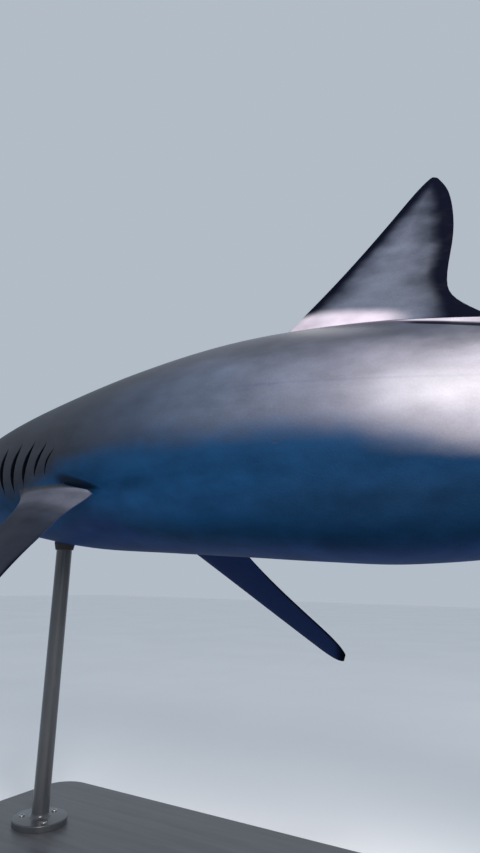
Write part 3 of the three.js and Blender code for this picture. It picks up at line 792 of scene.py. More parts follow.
front = ring_at(nostril_rings[0])
for column in (NOSTRIL["column"], COLUMNS - NOSTRIL["column"]):
    select_strip(front, front + 1, column - NOSTRIL["reach"], column + NOSTRIL["reach"])
    for step, dark in NOSTRIL_STEPS:
        push_on(lambda place, ring, column: (place + Vector((0, 0, step)), {"recess_shade": dark}))

EYE = {"x": 0.181, "z": 0.003, "radius": 0.021, "inset": 0.0155}
# The eye shows round this point, because the flank slopes.
SOCKET = {"x": EYE["x"] - 0.0037, "z": EYE["z"] + 0.0030}
# Distance from the socket's middle, how far proud of the flank, and how dark the painted shade is.
EYE_RIMS = (
    (0.0178, 0.0000, 0.0),
    (0.0158, 0.0016, 0.0),
    (0.0144, 0.0027, 0.1),
    (0.0135, 0.0014, 0.9),
    (0.0130, -0.0060, 1.0),
    (0.0100, -0.0120, 1.0),
)


def off_flank(x, z, way, proud=0.0):
    """A point that stands out from the flank, the right one where way is 1."""
    return Vector((x, way * (side_at(x, z) + proud), z))


eye_ring = ring_at(SOCKET["x"])
eye_column = min(range(8, 24), key=lambda column: abs(skin_point(SOCKET["x"], column).z - SOCKET["z"]))
for way in (-1, 1):
    middle = eye_column * way % COLUMNS
    select_strip(eye_ring - 2, eye_ring + 2, middle - 2, middle + 2)
    bm, _ = open_skin()
    for v in bm.verts:
        if v.select and not all(face.select for face in v.link_faces):
            away = Vector((v.co.x - SOCKET["x"], v.co.z - SOCKET["z"])).normalized() * EYE_RIMS[0][0]
            v.co = off_flank(SOCKET["x"] + away.x, SOCKET["z"] + away.y, way)
    bmesh.update_edit_mesh(mesh)
    for (before, _, _), (reach, proud, dark) in zip(EYE_RIMS, EYE_RIMS[1:]):
        def draw_in(place, ring, column):
            x = SOCKET["x"] + (place.x - SOCKET["x"]) * reach / before
            z = SOCKET["z"] + (place.z - SOCKET["z"]) * reach / before
            return off_flank(x, z, way, proud), {"recess_shade": dark}

        push_on(draw_in)

bpy.ops.mesh.select_all(action="SELECT")
bpy.ops.object.mode_set(mode="OBJECT")
SKIN_LEVELS = 1
finer = skin.modifiers.new("finer", "SUBSURF")
finer.levels = SKIN_LEVELS
finer.render_levels = SKIN_LEVELS
bpy.ops.object.modifier_apply(modifier=finer.name)

# The straight animal's places are kept for its markings. Then it takes its swimming curve; the paired fins
# keep their shape, held stiff on the body at their front.
STIFF_REACH = 0.080
laid = mesh.attributes.new("laid", "FLOAT_VECTOR", "POINT")
for vertex in mesh.vertices:
    laid.data[vertex.index].vector = vertex.co
for vertex in mesh.vertices:
    co = vertex.co.copy()
    vertex.co = swim(*co)
    for fin in (PECTORAL, PELVIC):
        if fin["x"] - 0.02 < co.x < fin["x"] + 0.30 and abs(co.y) > 0.02:
            off = max(abs(co.y) - side_at(co.x, co.z), 0.0)
            if co.z < trunk_section(co.x)[1]:
                off = max(off, STIFF_REACH)
            from_front = Matrix.Rotation(heading_at(fin["x"]), 3, "Z") @ Vector((co.x - fin["x"], co.y, 0))
            vertex.co = vertex.co.lerp(swim(fin["x"], 0, co.z) + from_front, ramp(off, 0.0, STIFF_REACH))


def face_outwards():
    """Turns every face of the object in hand outwards."""
    bpy.ops.object.mode_set(mode="EDIT")
    bpy.ops.mesh.select_all(action="SELECT")
    bpy.ops.mesh.normals_make_consistent(inside=False)
    bpy.ops.object.mode_set(mode="OBJECT")


face_outwards()
bpy.ops.object.shade_smooth()
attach(skin, "root")
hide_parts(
    "head", "lower_jaw", "trunk_front", "trunk_middle", "trunk_rear", "tail_stalk", "caudal_fin_upper",
    "caudal_fin_lower", "dorsal_fin_first", "dorsal_fin_second", "anal_fin", "pectoral_fin_left",
    "pectoral_fin_right", "pelvic_fin_left", "pelvic_fin_right",
)

# ---------------------------------------------------------------- the skin's finish
# Fine denticles with a satin sheen: dark grey along the back, and paler on the flank towards the rear, partly
# as a painted highlight. The slate blue below and the navy under the belly are painted shade. The fins have
# dusky edges and tips, the openings are painted dark inside as shade, and there are painted shadows behind
# the pectoral fin's root and on the back below the first dorsal fin's free rear tip, with a painted highlight
# at that fin's foot.


class Wire:
    """A value in a finish's nodes. Arithmetic on it adds Math nodes."""

    def __init__(self, finish, socket):
        self.finish = finish
        self.socket = socket

    def maths(self, operation, first, second):
        return self.finish.node("ShaderNodeMath", {"operation": operation}, {0: first, 1: second})

    def __add__(self, other):
        return self.maths("ADD", self, other)

    __radd__ = __add__

    def __sub__(self, other):
        return self.maths("SUBTRACT", self, other)

    def __rsub__(self, other):
        return self.maths("SUBTRACT", other, self)

    def __mul__(self, other):
        return self.maths("MULTIPLY", self, other)

    __rmul__ = __mul__

    def __pow__(self, other):
        return self.maths("POWER", self, other)

    def __abs__(self):
        return self.maths("ABSOLUTE", self, 0.0)

    def step(self, low, high):
        """A smooth step from 0 at low to 1 at high, which may be the lesser."""
        return self.finish.node(
            "ShaderNodeMapRange", {"interpolation_type": "SMOOTHSTEP"},
            {"Value": self, "From Min": low, "From Max": high},
        )

    def band(self, middle, half, soft):
        """1 within half of the middle, fading to 0 over soft on both sides."""
        return abs(self - middle).step(half + soft, half)


class Finish:
    """A material being mixed. Its shader's own sockets hold whatever is the same all over."""

    def __init__(self, name, fixed):
        self.material = bpy.data.materials.new(name)
        self.material.use_nodes = True
        self.tree = self.material.node_tree
        self.shader = self.tree.nodes["Principled BSDF"]
        for socket, value in fixed.items():
            self.shader.inputs[socket].default_value = value

    def node(self, kind, settings=None, inputs=None, output=0):
        """Adds a node: its settings first, then the values or wires of its sockets."""
        node = self.tree.nodes.new(kind)
        settings = dict(settings or {})
        for index, (at, colour) in enumerate(settings.pop("stops", ())):
            marks = node.color_ramp.elements
            mark = marks[index] if index < len(marks) else marks.new(at)
            mark.position = at
            mark.color = colour
        for name, value in settings.items():
            setattr(node, name, value)
        for name, value in (inputs or {}).items():
            if isinstance(value, Wire):
                self.tree.links.new(value.socket, node.inputs[name])
            else:
                node.inputs[name].default_value = value
        return Wire(self, node.outputs[output])

    def mark(self, name, output="Fac"):
        """A value that the mesh carries at its vertices."""
        return self.node("ShaderNodeAttribute", {"attribute_name": name}, {}, output)

    def object_place(self):
        return self.node("ShaderNodeTexCoord", output=3)

    def stretched(self, place, scale):
        return self.node("ShaderNodeVectorMath", {"operation": "MULTIPLY"}, {0: place, 1: scale})

    def noise(self, place, scale, detail):
        """Cloudy noise, about 0 in the middle."""
        return self.node("ShaderNodeTexNoise", {}, {"Vector": place, "Scale": scale, "Detail": detail}) - 0.5

    def blend(self, under, over, share, how="MIX"):
        """One colour laid over another."""
        inputs = {0: share, 6: under, 7: over}
        return self.node("ShaderNodeMix", {"data_type": "RGBA", "blend_type": how}, inputs, 2)

    def bump(self, height, strength, distance):
        return self.node("ShaderNodeBump", {}, {"Height": height, "Strength": strength, "Distance": distance})

    def finish(self, **wires):
        """Joins what varies over the surface to the shader, and returns the material."""
        for name, wire in wires.items():
            self.tree.links.new(wire.socket, self.shader.inputs[name.replace("_", " ").title()])
        return self.material


BACK = (0.030, 0.033, 0.048, 1)
NAPE = (0.0145, 0.0180, 0.0290, 1)
# Painted light: a paler tone that carries the lit part of the flank lower down towards the tail.
FLANK_PAINTED_LIGHT = (0.300, 0.285, 0.320, 1)
# Painted shade: slate blue on the lower flank, darker towards the tail near the lamp, and navy under the
# belly.
SLATE_SHADE = (0.0036, 0.0315, 0.0850, 1)
SLATE_SHADE_REAR = (0.0026, 0.0205, 0.0560, 1)
# Painted light: a lighter slate low on the flank towards the front, where the lamp and the floor light it
# least.
SLATE_PAINTED_LIGHT = (0.0062, 0.0480, 0.1300, 1)
BELLY_NAVY_SHADE = (0.0080, 0.0320, 0.1100, 1)
# Painted sheen and painted light: the fins' upper sides are paler in the middle and near the pectoral fins'
# root.
FIN_TOP = (0.066, 0.076, 0.103, 1)
FIN_ROOT = (0.094, 0.100, 0.130, 1)
FIN_DUSKY = (0.0080, 0.0105, 0.0190, 1)
FIN_EDGE = (0.0012, 0.0018, 0.0062, 1)
# Painted shade on the paired fins' undersides; the lateral line is tinted with it too.
FIN_UNDER = (0.0095, 0.0235, 0.0840, 1)
# Painted shade: near black inside the openings, in the throat, behind the pectoral fin and below the first
# dorsal fin.
PAINTED_SHADE_DARK = (0.0030, 0.0045, 0.0085, 1)
SCAR_DARK = (0.030, 0.032, 0.045, 1)
GUM_RED = (0.085, 0.026, 0.026, 1)
# Painted highlight: the bright reflection on the flare at the first dorsal fin's foot and on a strip behind
# it.
FLARE_PAINTED_HIGHLIGHT = (0.46, 0.41, 0.47, 1)
# The flank's paler band, by share of the body's length behind the snout: partly its own faint band, partly a
# painted highlight where it is palest at about half the length, and painted shade where it is darkest, around
# the gills and pectoral fins.
FLANK_STOPS = (
    (0.00, (0.028, 0.030, 0.038, 1)),
    (0.26, (0.017, 0.021, 0.031, 1)),
    (0.32, (0.024, 0.036, 0.062, 1)),
    (0.37, (0.052, 0.066, 0.100, 1)),
    (0.42, (0.085, 0.090, 0.122, 1)),
    (0.47, (0.152, 0.145, 0.174, 1)),
    (0.52, (0.230, 0.215, 0.240, 1)),
    (0.72, (0.120, 0.120, 0.142, 1)),
    (1.00, (0.048, 0.050, 0.062, 1)),
)
# Borders between the colours, as shares of the way down from the back to the belly. The lower two bound the
# painted shade of the lower flank and the belly.
FLANK_BORDER = (0.24, 0.37)
SLATE_BORDER = (0.49, 0.59)
NAVY_BORDER = (0.80, 0.90)
# Sizes of the markings: cloudy patches, mottling and denticles to the metre, and small scars.
CLOUD_SCALE = 5.5
BLOTCH_SCALE = 21.0
GRAIN_SCALE = 420.0
SCAR_SCALE = 60.0
# How far out the dark smudges cross the pectoral fins and how strong they are; half their width, and their
# soft rims.
SMUDGES = ((0.126, 0.5), (0.164, 0.4))
SMUDGE_WIDTH = (0.003, 0.008)
# The slopes and levels of the painted shadow line on the back below the first dorsal fin's free rear tip and
# of the top of the flare at its foot.
SHADOW_LINE_PLACE = (0.25, 0.3855)
FLARE_TOP = (0.168, 0.3450)
# The painted shadow in the hollow behind the pectoral fin's root: how far back and how high it lies, how it
# slopes, half its length, and how thin it is in the middle and how much thinner it is towards its end.
HOLLOW = {"x": 0.660, "z": -0.057, "slope": 0.24, "half": 0.05, "thin": 115, "taper": 70}

hide = Finish("shark_hide", {
    "IOR": 1.45, "Specular IOR Level": 0.03, "Coat Roughness": 0.38, "Coat IOR": 1.5,
})
# Places back, out and up are in metres. Down runs from 0 on the back to 1 under the belly, and edge is the
# distance from a fin's edge, and 1 on the body.
straight = hide.mark("laid", "Vector")
back_at, side_out, level_at = (hide.node("ShaderNodeSeparateXYZ", {}, {0: straight}, k) for k in range(3))
down = hide.mark("down")
edge = hide.mark("edge")
drawn_out = hide.stretched(straight, (1.0, 1.0, 1.8))
cloud = hide.noise(drawn_out, CLOUD_SCALE, 3.0)
blotch = hide.noise(drawn_out, BLOTCH_SCALE, 4.0)
streak = hide.noise(hide.stretched(straight, (7.0, 20.0, 60.0)), 1.0, 3.0)
grain = hide.noise(straight, GRAIN_SCALE, 2.0)

# The back, the flank and the belly. Their borders are ragged, and dip or rise along the body. The slate blue
# of the lower flank and the navy of the belly are painted shade, and the navy reaches higher over the front
# of the body as painted shadow below the pectoral fins. A paler tone low on the flank at the rear and a
# lighter slate low on the flank at the front are painted light.
ragged = down + cloud * 0.10 + blotch * 0.05 - 0.07 * back_at.step(0.64, 0.54)
shaded = ragged + 0.015 - 0.090 * back_at.step(0.98, 1.22)
# Painted shadow: the navy reaches higher over the front of the body.
lowest = ragged + 0.12 * back_at.step(0.76, 0.68)
flank_tone = hide.node("ShaderNodeValToRGB", {"stops": FLANK_STOPS}, {0: back_at * (1 / TOTAL_LENGTH)})
flank_tone = hide.blend(flank_tone, FLANK_PAINTED_LIGHT, ragged.step(0.36, 0.50) * back_at.step(1.02, 1.14) * 0.3)
back_tone = hide.blend(NAPE, BACK, back_at.step(0.68, 0.90))
slate_shade = hide.blend(SLATE_SHADE, SLATE_SHADE_REAR, back_at.step(0.78, 1.20))
tone = hide.blend(back_tone, flank_tone, ragged.step(*FLANK_BORDER))
tone = hide.blend(tone, slate_shade, shaded.step(*SLATE_BORDER))
tone = hide.blend(tone, SLATE_PAINTED_LIGHT, ragged.band(0.715, 0.020, 0.070) * back_at.step(1.04, 0.76))
tone = hide.blend(tone, BELLY_NAVY_SHADE, lowest.step(*NAVY_BORDER))

# The fins' upper sides: paler at the root and in the middle, as painted sheen and painted light, and smudged
# across the pectoral fins.
fin_share = edge.step(0.80, 0.12)
wing = abs(side_out)
blade = (edge + blotch * 0.04).step(0.0, 0.075)
ahead_of_rear_fins = back_at.step(0.95, 0.85)
near_body = 0.12 + 0.88 * (wing + 0.060 * back_at.step(0.85, 0.95)).step(0.190, 0.140)
(inner, inner_share), (outer, outer_share) = SMUDGES
smudge = (wing + blotch * 0.008).band(inner, *SMUDGE_WIDTH) * inner_share
smudge = smudge + wing.band(outer, *SMUDGE_WIDTH) * outer_share
fin_tone = hide.blend(FIN_DUSKY, FIN_TOP, near_body * blade)
fin_tone = hide.blend(fin_tone, FIN_ROOT, wing.band(inner, 0.024, 0.022) * ahead_of_rear_fins * blade)
fin_tone = hide.blend(fin_tone, FIN_DUSKY, smudge)
tone = hide.blend(tone, fin_tone, fin_share * down.step(0.5, 0.3))

# Cloudy mottling, fine streaks and the grain of the denticles.
lightness = 1 + cloud * 0.5 + blotch * 0.9 + streak * 0.25 + grain * 0.25
shade = hide.node("ShaderNodeCombineColor", {}, {0: lightness, 1: lightness, 2: lightness})
tone = hide.blend(tone, shade, 1.0, "MULTIPLY")

# A painted highlight on the flare at the foot of the first dorsal fin, and behind it a painted shadow line on
# the back below the fin's free rear tip, with a strip of painted highlight above the line.
flare_top = level_at + back_at * FLARE_TOP[0] - FLARE_TOP[1]
flared = flare_top.step(0.003, -0.014) * level_at.step(0.118, 0.128) * edge.step(0.985, 0.85)
flared = flared * back_at.step(0.890, 0.925) * back_at.step(1.095, 1.040)
shadow_level = level_at + back_at * SHADOW_LINE_PLACE[0] - SHADOW_LINE_PLACE[1]
highlight_strip = shadow_level.step(0.0045, 0.0070) * edge.step(0.90, 0.97) * wing.step(0.026, 0.040)
highlight_strip = highlight_strip * back_at.step(1.060, 1.100) * back_at.step(1.220, 1.130)
shadow_line = shadow_level.band(-0.0002, 0.0024, 0.0014) * back_at.step(1.080, 1.104) * back_at.step(1.225, 1.190)
tone = hide.blend(tone, FLARE_PAINTED_HIGHLIGHT, (flared + highlight_strip) * (0.80 + blotch))
tone = hide.blend(tone, PAINTED_SHADE_DARK, shadow_line)

# Small dark scars on the flank.
scar_place = hide.stretched(straight, (0.45, 1.0, 1.0))
near_scar, scar_colour = (
    hide.node("ShaderNodeTexVoronoi", {}, {"Vector": scar_place, "Scale": SCAR_SCALE}, k) for k in range(2)
)
chance = hide.node("ShaderNodeSeparateColor", {}, {0: scar_colour})
scars = near_scar.step(0.11, 0.05) * chance.step(0.88, 0.91)
tone = hide.blend(tone, SCAR_DARK, scars * down.step(0.62, 0.5) * 0.75)

# The lateral line, a faint row of pores from the gills to the tail.
line_level = down - 0.385 - back_at * 0.030
lateral = line_level.band(0.0, 0.0015, 0.0035) * back_at.step(0.60, 0.68) * back_at.step(1.80, 1.74)
lateral = lateral * (0.6 + streak * 1.6)
tone = hide.blend(tone, FIN_UNDER, lateral * 0.16)

# The paired fins' undersides, painted dark as shade, and the dusky edges and tips of all the fins.
tone = hide.blend(tone, FIN_UNDER, hide.mark("under"))
dusk = (edge + blotch * 0.012 + cloud * 0.010).step(0.032, 0.010) * (1 - flared)
tone = hide.blend(tone, FIN_EDGE, dusk)

# Painted shadow in the hollow behind the pectoral fin's root, painted shade in the slits and sockets, and the
# mouth's gums with painted shade in its throat.
past_hollow = back_at - HOLLOW["x"]
hollow_along = past_hollow * (1 / HOLLOW["half"])
hollow_up = level_at - HOLLOW["z"] + past_hollow * HOLLOW["slope"]
hollow_up = hollow_up * (HOLLOW["thin"] + HOLLOW["taper"] * hollow_along)
hollow = (hollow_along * hollow_along + hollow_up * hollow_up).step(1.0, 0.25)
# The mouth's mark: red gums near the lips, then painted shade deeper in the throat.
gum_and_throat_shade = hide.mark("gum_and_throat_shade")
tone = hide.blend(tone, PAINTED_SHADE_DARK, hollow * 0.85)
tone = hide.blend(tone, PAINTED_SHADE_DARK, hide.mark("recess_shade").step(0.0, 0.55))
tone = hide.blend(tone, GUM_RED, gum_and_throat_shade.step(0.02, 0.35))
tone = hide.blend(tone, PAINTED_SHADE_DARK, gum_and_throat_shade.step(0.45, 0.95))

gloss = (0.10 + 0.70 * down.step(0.64, 0.42)) * (1 - dusk) * (1 - 0.95 * fin_share) * (1 - shadow_line)
gloss = gloss * (0.30 + 0.70 * back_at.step(0.40, 0.90)) + blotch * 0.15
roughness = 0.50 + blotch * 0.20 + grain * 0.10 + down.step(0.5, 0.7) * 0.10 + dusk * 0.25
relief = grain + blotch * 0.6 - scars * 1.2 - lateral * 0.3 - shadow_line * 3
mesh.materials.append(hide.finish(
    base_color=tone, roughness=roughness, coat_weight=gloss, normal=hide.bump(relief, 0.35, 0.0007),
))

# ---------------------------------------------------------------- the eyes
# Round glossy balls of glass, painted inside: a dark bronze iris, an upright slit pupil and a thin grey
# white. Each is set in its socket so that it looks out square to the flank.

EYE_MARGIN = 0.0003
EYE_SEGMENTS = 48
EYE_RINGS = 40
IRIS_HALF = 0.0127
IRIS_RIM = 0.0006
CORNEA_ANGLE = 0.66
CORNEA_RISE = 0.0007
PUPIL_HALF = 0.0024
PUPIL_TALL = 0.0095
IRIS_STOPS = (
    (0.00, (0.120, 0.115, 0.085, 1)),
    (0.45, (0.055, 0.055, 0.045, 1)),
    (0.85, (0.028, 0.030, 0.028, 1)),
    (1.00, (0.006, 0.006, 0.007, 1)),
)
FIBRES_ACROSS = 700
FIBRES_OUT = 90
EYE_WHITE = (0.060, 0.066, 0.072, 1)
PUPIL_BLACK = (0.0012, 0.0012, 0.0015, 1)

eyeball = Finish("eye_glass", {
    "Coat Weight": 0.55, "Coat Roughness": 0.03, "Specular IOR Level": 0.1, "Roughness": 0.4,
})
aside, upright = eyeball.mark("across"), eyeball.mark("upward")
radius = (aside * aside + upright * upright) ** 0.5
fibre_place = eyeball.node("ShaderNodeCombineXYZ", {}, {
    0: aside * FIBRES_ACROSS, 1: upright * FIBRES_ACROSS, 2: radius * FIBRES_OUT,
})
fibres = eyeball.noise(fibre_place, 1.0, 3.0)
iris_at = radius * (1 / IRIS_HALF) + fibres * 0.35
iris = eyeball.node("ShaderNodeValToRGB", {"stops": IRIS_STOPS}, {0: iris_at})
pupil = (aside * (1 / PUPIL_HALF)) ** 2 + (upright * (1 / PUPIL_TALL)) ** 2
eye_tone = eyeball.blend(iris, EYE_WHITE, radius.step(IRIS_HALF, IRIS_HALF + IRIS_RIM))
eye_tone = eyeball.blend(eye_tone, PUPIL_BLACK, pupil.step(1.08, 0.92))
eye_finish = eyeball.finish(base_color=eye_tone)

for way, node_name in ((-1, "eye_left"), (1, "eye_right")):
    centre = off_flank(EYE["x"], EYE["z"], way, -EYE["inset"])
    gaze = (off_flank(SOCKET["x"], SOCKET["z"], way) - centre).normalized()
    forward = Vector((0, 0, 1)).cross(gaze).normalized()
    upward = gaze.cross(forward)
    eye = begin(
        add_sphere, "shark_" + node_name,
        segments=EYE_SEGMENTS, ring_count=EYE_RINGS, radius=EYE["radius"] - EYE_MARGIN,
    )
    across_mark = eye.data.attributes.new("across", "FLOAT", "POINT")
    upward_mark = eye.data.attributes.new("upward", "FLOAT", "POINT")
    for vertex in eye.data.vertices:
        local = vertex.co.copy()
        across_mark.data[vertex.index].value = local.x
        upward_mark.data[vertex.index].value = local.y
        angle = local.angle(Vector((0, 0, 1)))
        local *= 1 + CORNEA_RISE / local.length * max(1 - (angle / CORNEA_ANGLE) ** 2, 0.0) ** 2
        vertex.co = swim(*(centre + forward * local.x + upward * local.y + gaze * local.z))
    bpy.ops.object.shade_smooth()
    eye.data.materials.append(eye_finish)
    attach(eye, "root")
    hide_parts(node_name)

# ---------------------------------------------------------------- the teeth
# A row of small ivory teeth inside each lip: broad and leaning to the jaw's corners above, narrow and upright
# below. One tooth is modelled for each jaw, and its copies are set along the jaw with their feet in the gum.

# For each jaw: the way its teeth point, the jaw across the mouth, from tooth to tooth, a tooth's width,
# height and thickness, how far its middle lies behind the lip, and how far it leans to the corner and into
# the mouth.
JAWS = {
    "upper": {
        "rise": -1, "other": "lower", "gap": 0.0064, "size": (0.0064, 0.0086, 0.0022),
        "sunk": 0.0046, "lean": 0.50, "inward": 0.16,
    },
    "lower": {
        "rise": 1, "other": "upper", "gap": 0.0052, "size": (0.0036, 0.0056, 0.0019),
        "sunk": -0.0006, "lean": 0.12, "inward": 0.34,
    },
}
TOOTH_REACH = 8.4  # columns from the jaw's middle to the last tooth
ARC_STEPS = 8  # to the column
TOOTH_SIDES = 8
TOOTH_TIP = 0.10
TOOTH_BELT = 0.28  # how far up a tooth its wider foot goes, as a share of its height
TOOTH_FOOT = (1.25, 1.2, 1.0)
TOOTH_SHRINK = 0.45  # how much smaller the last tooth is
TOOTH_INSET = 0.0004


def clouded_finish(name, fixed, colours, scale, detail, patches, gloss, relief=None):
    """A finish with two colours in patches, a roughness and how far it swings, and perhaps a relief."""
    coat = Finish(name, fixed)
    clouds = coat.noise(coat.object_place(), scale, detail)
    roughness, swing = gloss
    relief_wire = {"normal": coat.bump(clouds, *relief)} if relief else {}
    tone = coat.blend(*colours, clouds.step(*patches))
    return coat.finish(base_color=tone, roughness=roughness + clouds * swing, **relief_wire)


ivory_finish = clouded_finish(
    "tooth_ivory", {"Coat Weight": 0.6, "Coat Roughness": 0.12},
    ((0.66, 0.63, 0.54, 1), (0.44, 0.38, 0.28, 1)), 260.0, 2.0, (-0.1, 0.2), (0.34, 0.2), (0.15, 0.0003),
)


def lip_at(name, column):
    """A point of a jaw's lip line at a column that may be a fraction."""
    ring = ring_at(MOUTH["front"]) + (name == "lower")
    before = math.floor(column)
    return skin_point(RINGS[ring], before).lerp(skin_point(RINGS[ring], before + 1), column - before)


def model_tooth(width, height, thick):
    """A single tooth with its middle at the origin, its foot down and its tip along +Z, broad along X."""
    tooth = begin(
        bpy.ops.mesh.primitive_cone_add, "tooth", vertices=TOOTH_SIDES, radius1=1.0, radius2=TOOTH_TIP,
        depth=height, end_fill_type="NGON",
    )
    bpy.ops.object.mode_set(mode="EDIT")
    bpy.ops.mesh.select_all(action="SELECT")
    bpy.ops.transform.resize(value=(width / 2, thick / 2, 1.0), center_override=(0, 0, 0))
    bpy.ops.mesh.bisect(plane_co=(0, 0, height * (TOOTH_BELT - 0.5)), plane_no=(0, 0, 1))
    bpy.ops.mesh.select_all(action="DESELECT")
    bm = bmesh.from_edit_mesh(tooth.data)
    for v in bm.verts:
        v.select_set(v.co.z < 0)
    bm.select_flush_mode()
    bmesh.update_edit_mesh(tooth.data)
    bpy.ops.transform.resize(value=TOOTH_FOOT, center_override=(0, 0, 0))
    bpy.ops.object.mode_set(mode="OBJECT")
    return tooth


def join_pieces(pieces, name):
    """Joins like pieces into one object."""
    bpy.ops.object.select_all(action="DESELECT")
    for piece in pieces:
        piece.select_set(True)
    bpy.context.view_layer.objects.active = pieces[0]
    bpy.ops.object.join()
    bpy.context.object.name = name
    return bpy.context.object


for name, jaw in JAWS.items():
    pattern = model_tooth(*jaw["size"])
    arc = [(0.0, 0.0)]
    for k in range(1, int(TOOTH_REACH * ARC_STEPS) + 1):
        stretch = (lip_at(name, BELLY + k / ARC_STEPS) - lip_at(name, BELLY + (k - 1) / ARC_STEPS)).length
        arc.append((arc[-1][0] + stretch, k / ARC_STEPS))
    count = int(arc[-1][0] / jaw["gap"])
    row = []
    for index in range(-count, count + 1):
        side = 1 if index >= 0 else -1
        along = abs(index) * jaw["gap"]
        far = along / arc[-1][0]
        column = BELLY + side * min(arc, key=lambda entry: abs(entry[0] - along))[1]
        lip = lip_at(name, column)
        across_mouth = lip_at(jaw["other"], column) - lip
        across_mouth.z = 0
        across_mouth.normalize()
        cornerward = (lip_at(name, column + 0.25) - lip_at(name, column - 0.25)).normalized() * side
        up_jaw = Vector((0, 0, jaw["rise"]))
        tip_way = (up_jaw + across_mouth * jaw["inward"] + cornerward * jaw["lean"] * far).normalized()
        face = tip_way.cross(cornerward).normalized()
        broad = face.cross(tip_way)
        middle = lip + across_mouth * TOOTH_INSET - up_jaw * jaw["sunk"]
        copied = pattern.copy()
        copied.data = pattern.data.copy()
        bpy.context.collection.objects.link(copied)
        for vertex in copied.data.vertices:
            local = vertex.co * (1 - TOOTH_SHRINK * far * far)
            vertex.co = swim(*(middle + broad * local.x + face * local.y + tip_way * local.z))
        row.append(copied)
    teeth = join_pieces(row, "shark_teeth_" + name)
    face_outwards()
    bpy.ops.object.shade_smooth_by_angle(angle=math.radians(50))
    teeth.data.materials.append(ivory_finish)
    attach(teeth, "root")
    bpy.data.objects.remove(pattern)

# ---------------------------------------------------------------- the stand's board
# A flat board of painted wood with rounded corners and a softened upper rim. It lies loose on the floor, and
# both rods stand on it.

BOARD_CORNER = 0.050
BOARD_EDGE = 0.0035
BOARD_GREYS = ((0.050, 0.054, 0.060, 1), (0.072, 0.077, 0.084, 1))

paint = Finish("charcoal_board_paint", {"Coat Weight": 0.15, "Coat Roughness": 0.30})
paint_place = paint.object_place()
wood_lines = paint.noise(paint.stretched(paint_place, (3.0, 90.0, 90.0)), 1.0, 3.0)
roller = paint.noise(paint_place, 260.0, 2.0)
scuffs = paint.noise(paint.stretched(paint_place, (12.0, 40.0, 40.0)), 1.0, 2.0)
paint_finish = paint.finish(
    base_color=paint.blend(*BOARD_GREYS, (wood_lines + scuffs).step(-0.15, 0.25)),
    roughness=0.44 + scuffs * 0.25,
    normal=paint.bump(roller + wood_lines * 0.6, 0.25, 0.0005),
)


def bevel_where(piece, chosen, width, segments):
    """Bevels the edges for which chosen is true."""
    bpy.ops.mesh.select_all(action="DESELECT")
    bm = bmesh.from_edit_mesh(piece.data)
    for edge in bm.edges:
        edge.select_set(chosen(edge))
    bmesh.update_edit_mesh(piece.data)
    bpy.ops.mesh.bevel(offset=width, segments=segments, affect="EDGES")


def upright_edge(edge):
    low, high = sorted(v.co.z for v in edge.verts)
    return low < board_middle.z < high


def top_rim(edge):
    return all(v.co.z > board_middle.z for v in edge.verts) and edge.calc_face_angle() > 1.0


board = begin(
    bpy.ops.mesh.primitive_cube_add, "display_board",
    size=1.0, location=board_middle, scale=board_high - board_low,
)
bpy.ops.object.transform_apply()
bpy.ops.object.mode_set(mode="EDIT")
bpy.ops.mesh.select_mode(type="EDGE")
bevel_where(board, upright_edge, BOARD_CORNER, 12)
bevel_where(board, top_rim, BOARD_EDGE, 4)
bpy.ops.object.mode_set(mode="OBJECT")
bpy.ops.object.shade_smooth_by_angle(angle=math.radians(30))
board.data.materials.append(paint_finish)
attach(board, "root")
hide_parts("stand_base")

# ---------------------------------------------------------------- the stand's rods
# Two steel rods, turned in one piece with their round feet, painted charcoal and held to the board by three
# screws each. A soft black collar cushions the belly where a rod enters it.

ROD_RADIUS = 0.013
ROD_SHORT = 0.001  # how much lower than its node a rod ends, inside the body
FOOT_RADIUS = 0.042
FOOT_HEIGHT = 0.009
FOOT_ROUND = 0.0020
FILLET = 0.006
ROD_TURNS = 64
SCREWS = 3
SCREW_RADIUS = 0.0045
SCREW_RISE = 0.0016
SCREW_ROUND = 0.0012
SCREW_CIRCLE = 0.029
COLLAR_RADIUS = 0.0175
COLLAR_HEIGHT = 0.012
ENAMEL_GREYS = ((0.034, 0.037, 0.042, 1), (0.050, 0.054, 0.060, 1))

enamel = Finish("charcoal_rod_enamel", {"Coat Weight": 0.4, "Coat Roughness": 0.22})
enamel_place = enamel.object_place()
brushed = enamel.noise(enamel.stretched(enamel_place, (60.0, 60.0, 14.0)), 1.0, 3.0)
enamel_finish = enamel.finish(
    base_color=enamel.blend(*ENAMEL_GREYS, brushed.step(-0.2, 0.25)),
    roughness=0.36 + brushed * 0.2,
    normal=enamel.bump(enamel.noise(enamel_place, 520.0, 2.0), 0.12, 0.0004),
)
steel_finish = clouded_finish(
    "screw_steel", {"Metallic": 1.0}, ((0.42, 0.42, 0.43, 1), (0.30, 0.30, 0.31, 1)),
    900.0, 2.0, (-0.1, 0.2), (0.30, 0.3),
)
rubber_finish = clouded_finish(
    "collar_rubber", {}, ((0.010, 0.010, 0.011, 1), (0.020, 0.020, 0.022, 1)),
    700.0, 3.0, (-0.1, 0.2), (0.80, 0.2), (0.4, 0.0006),
)


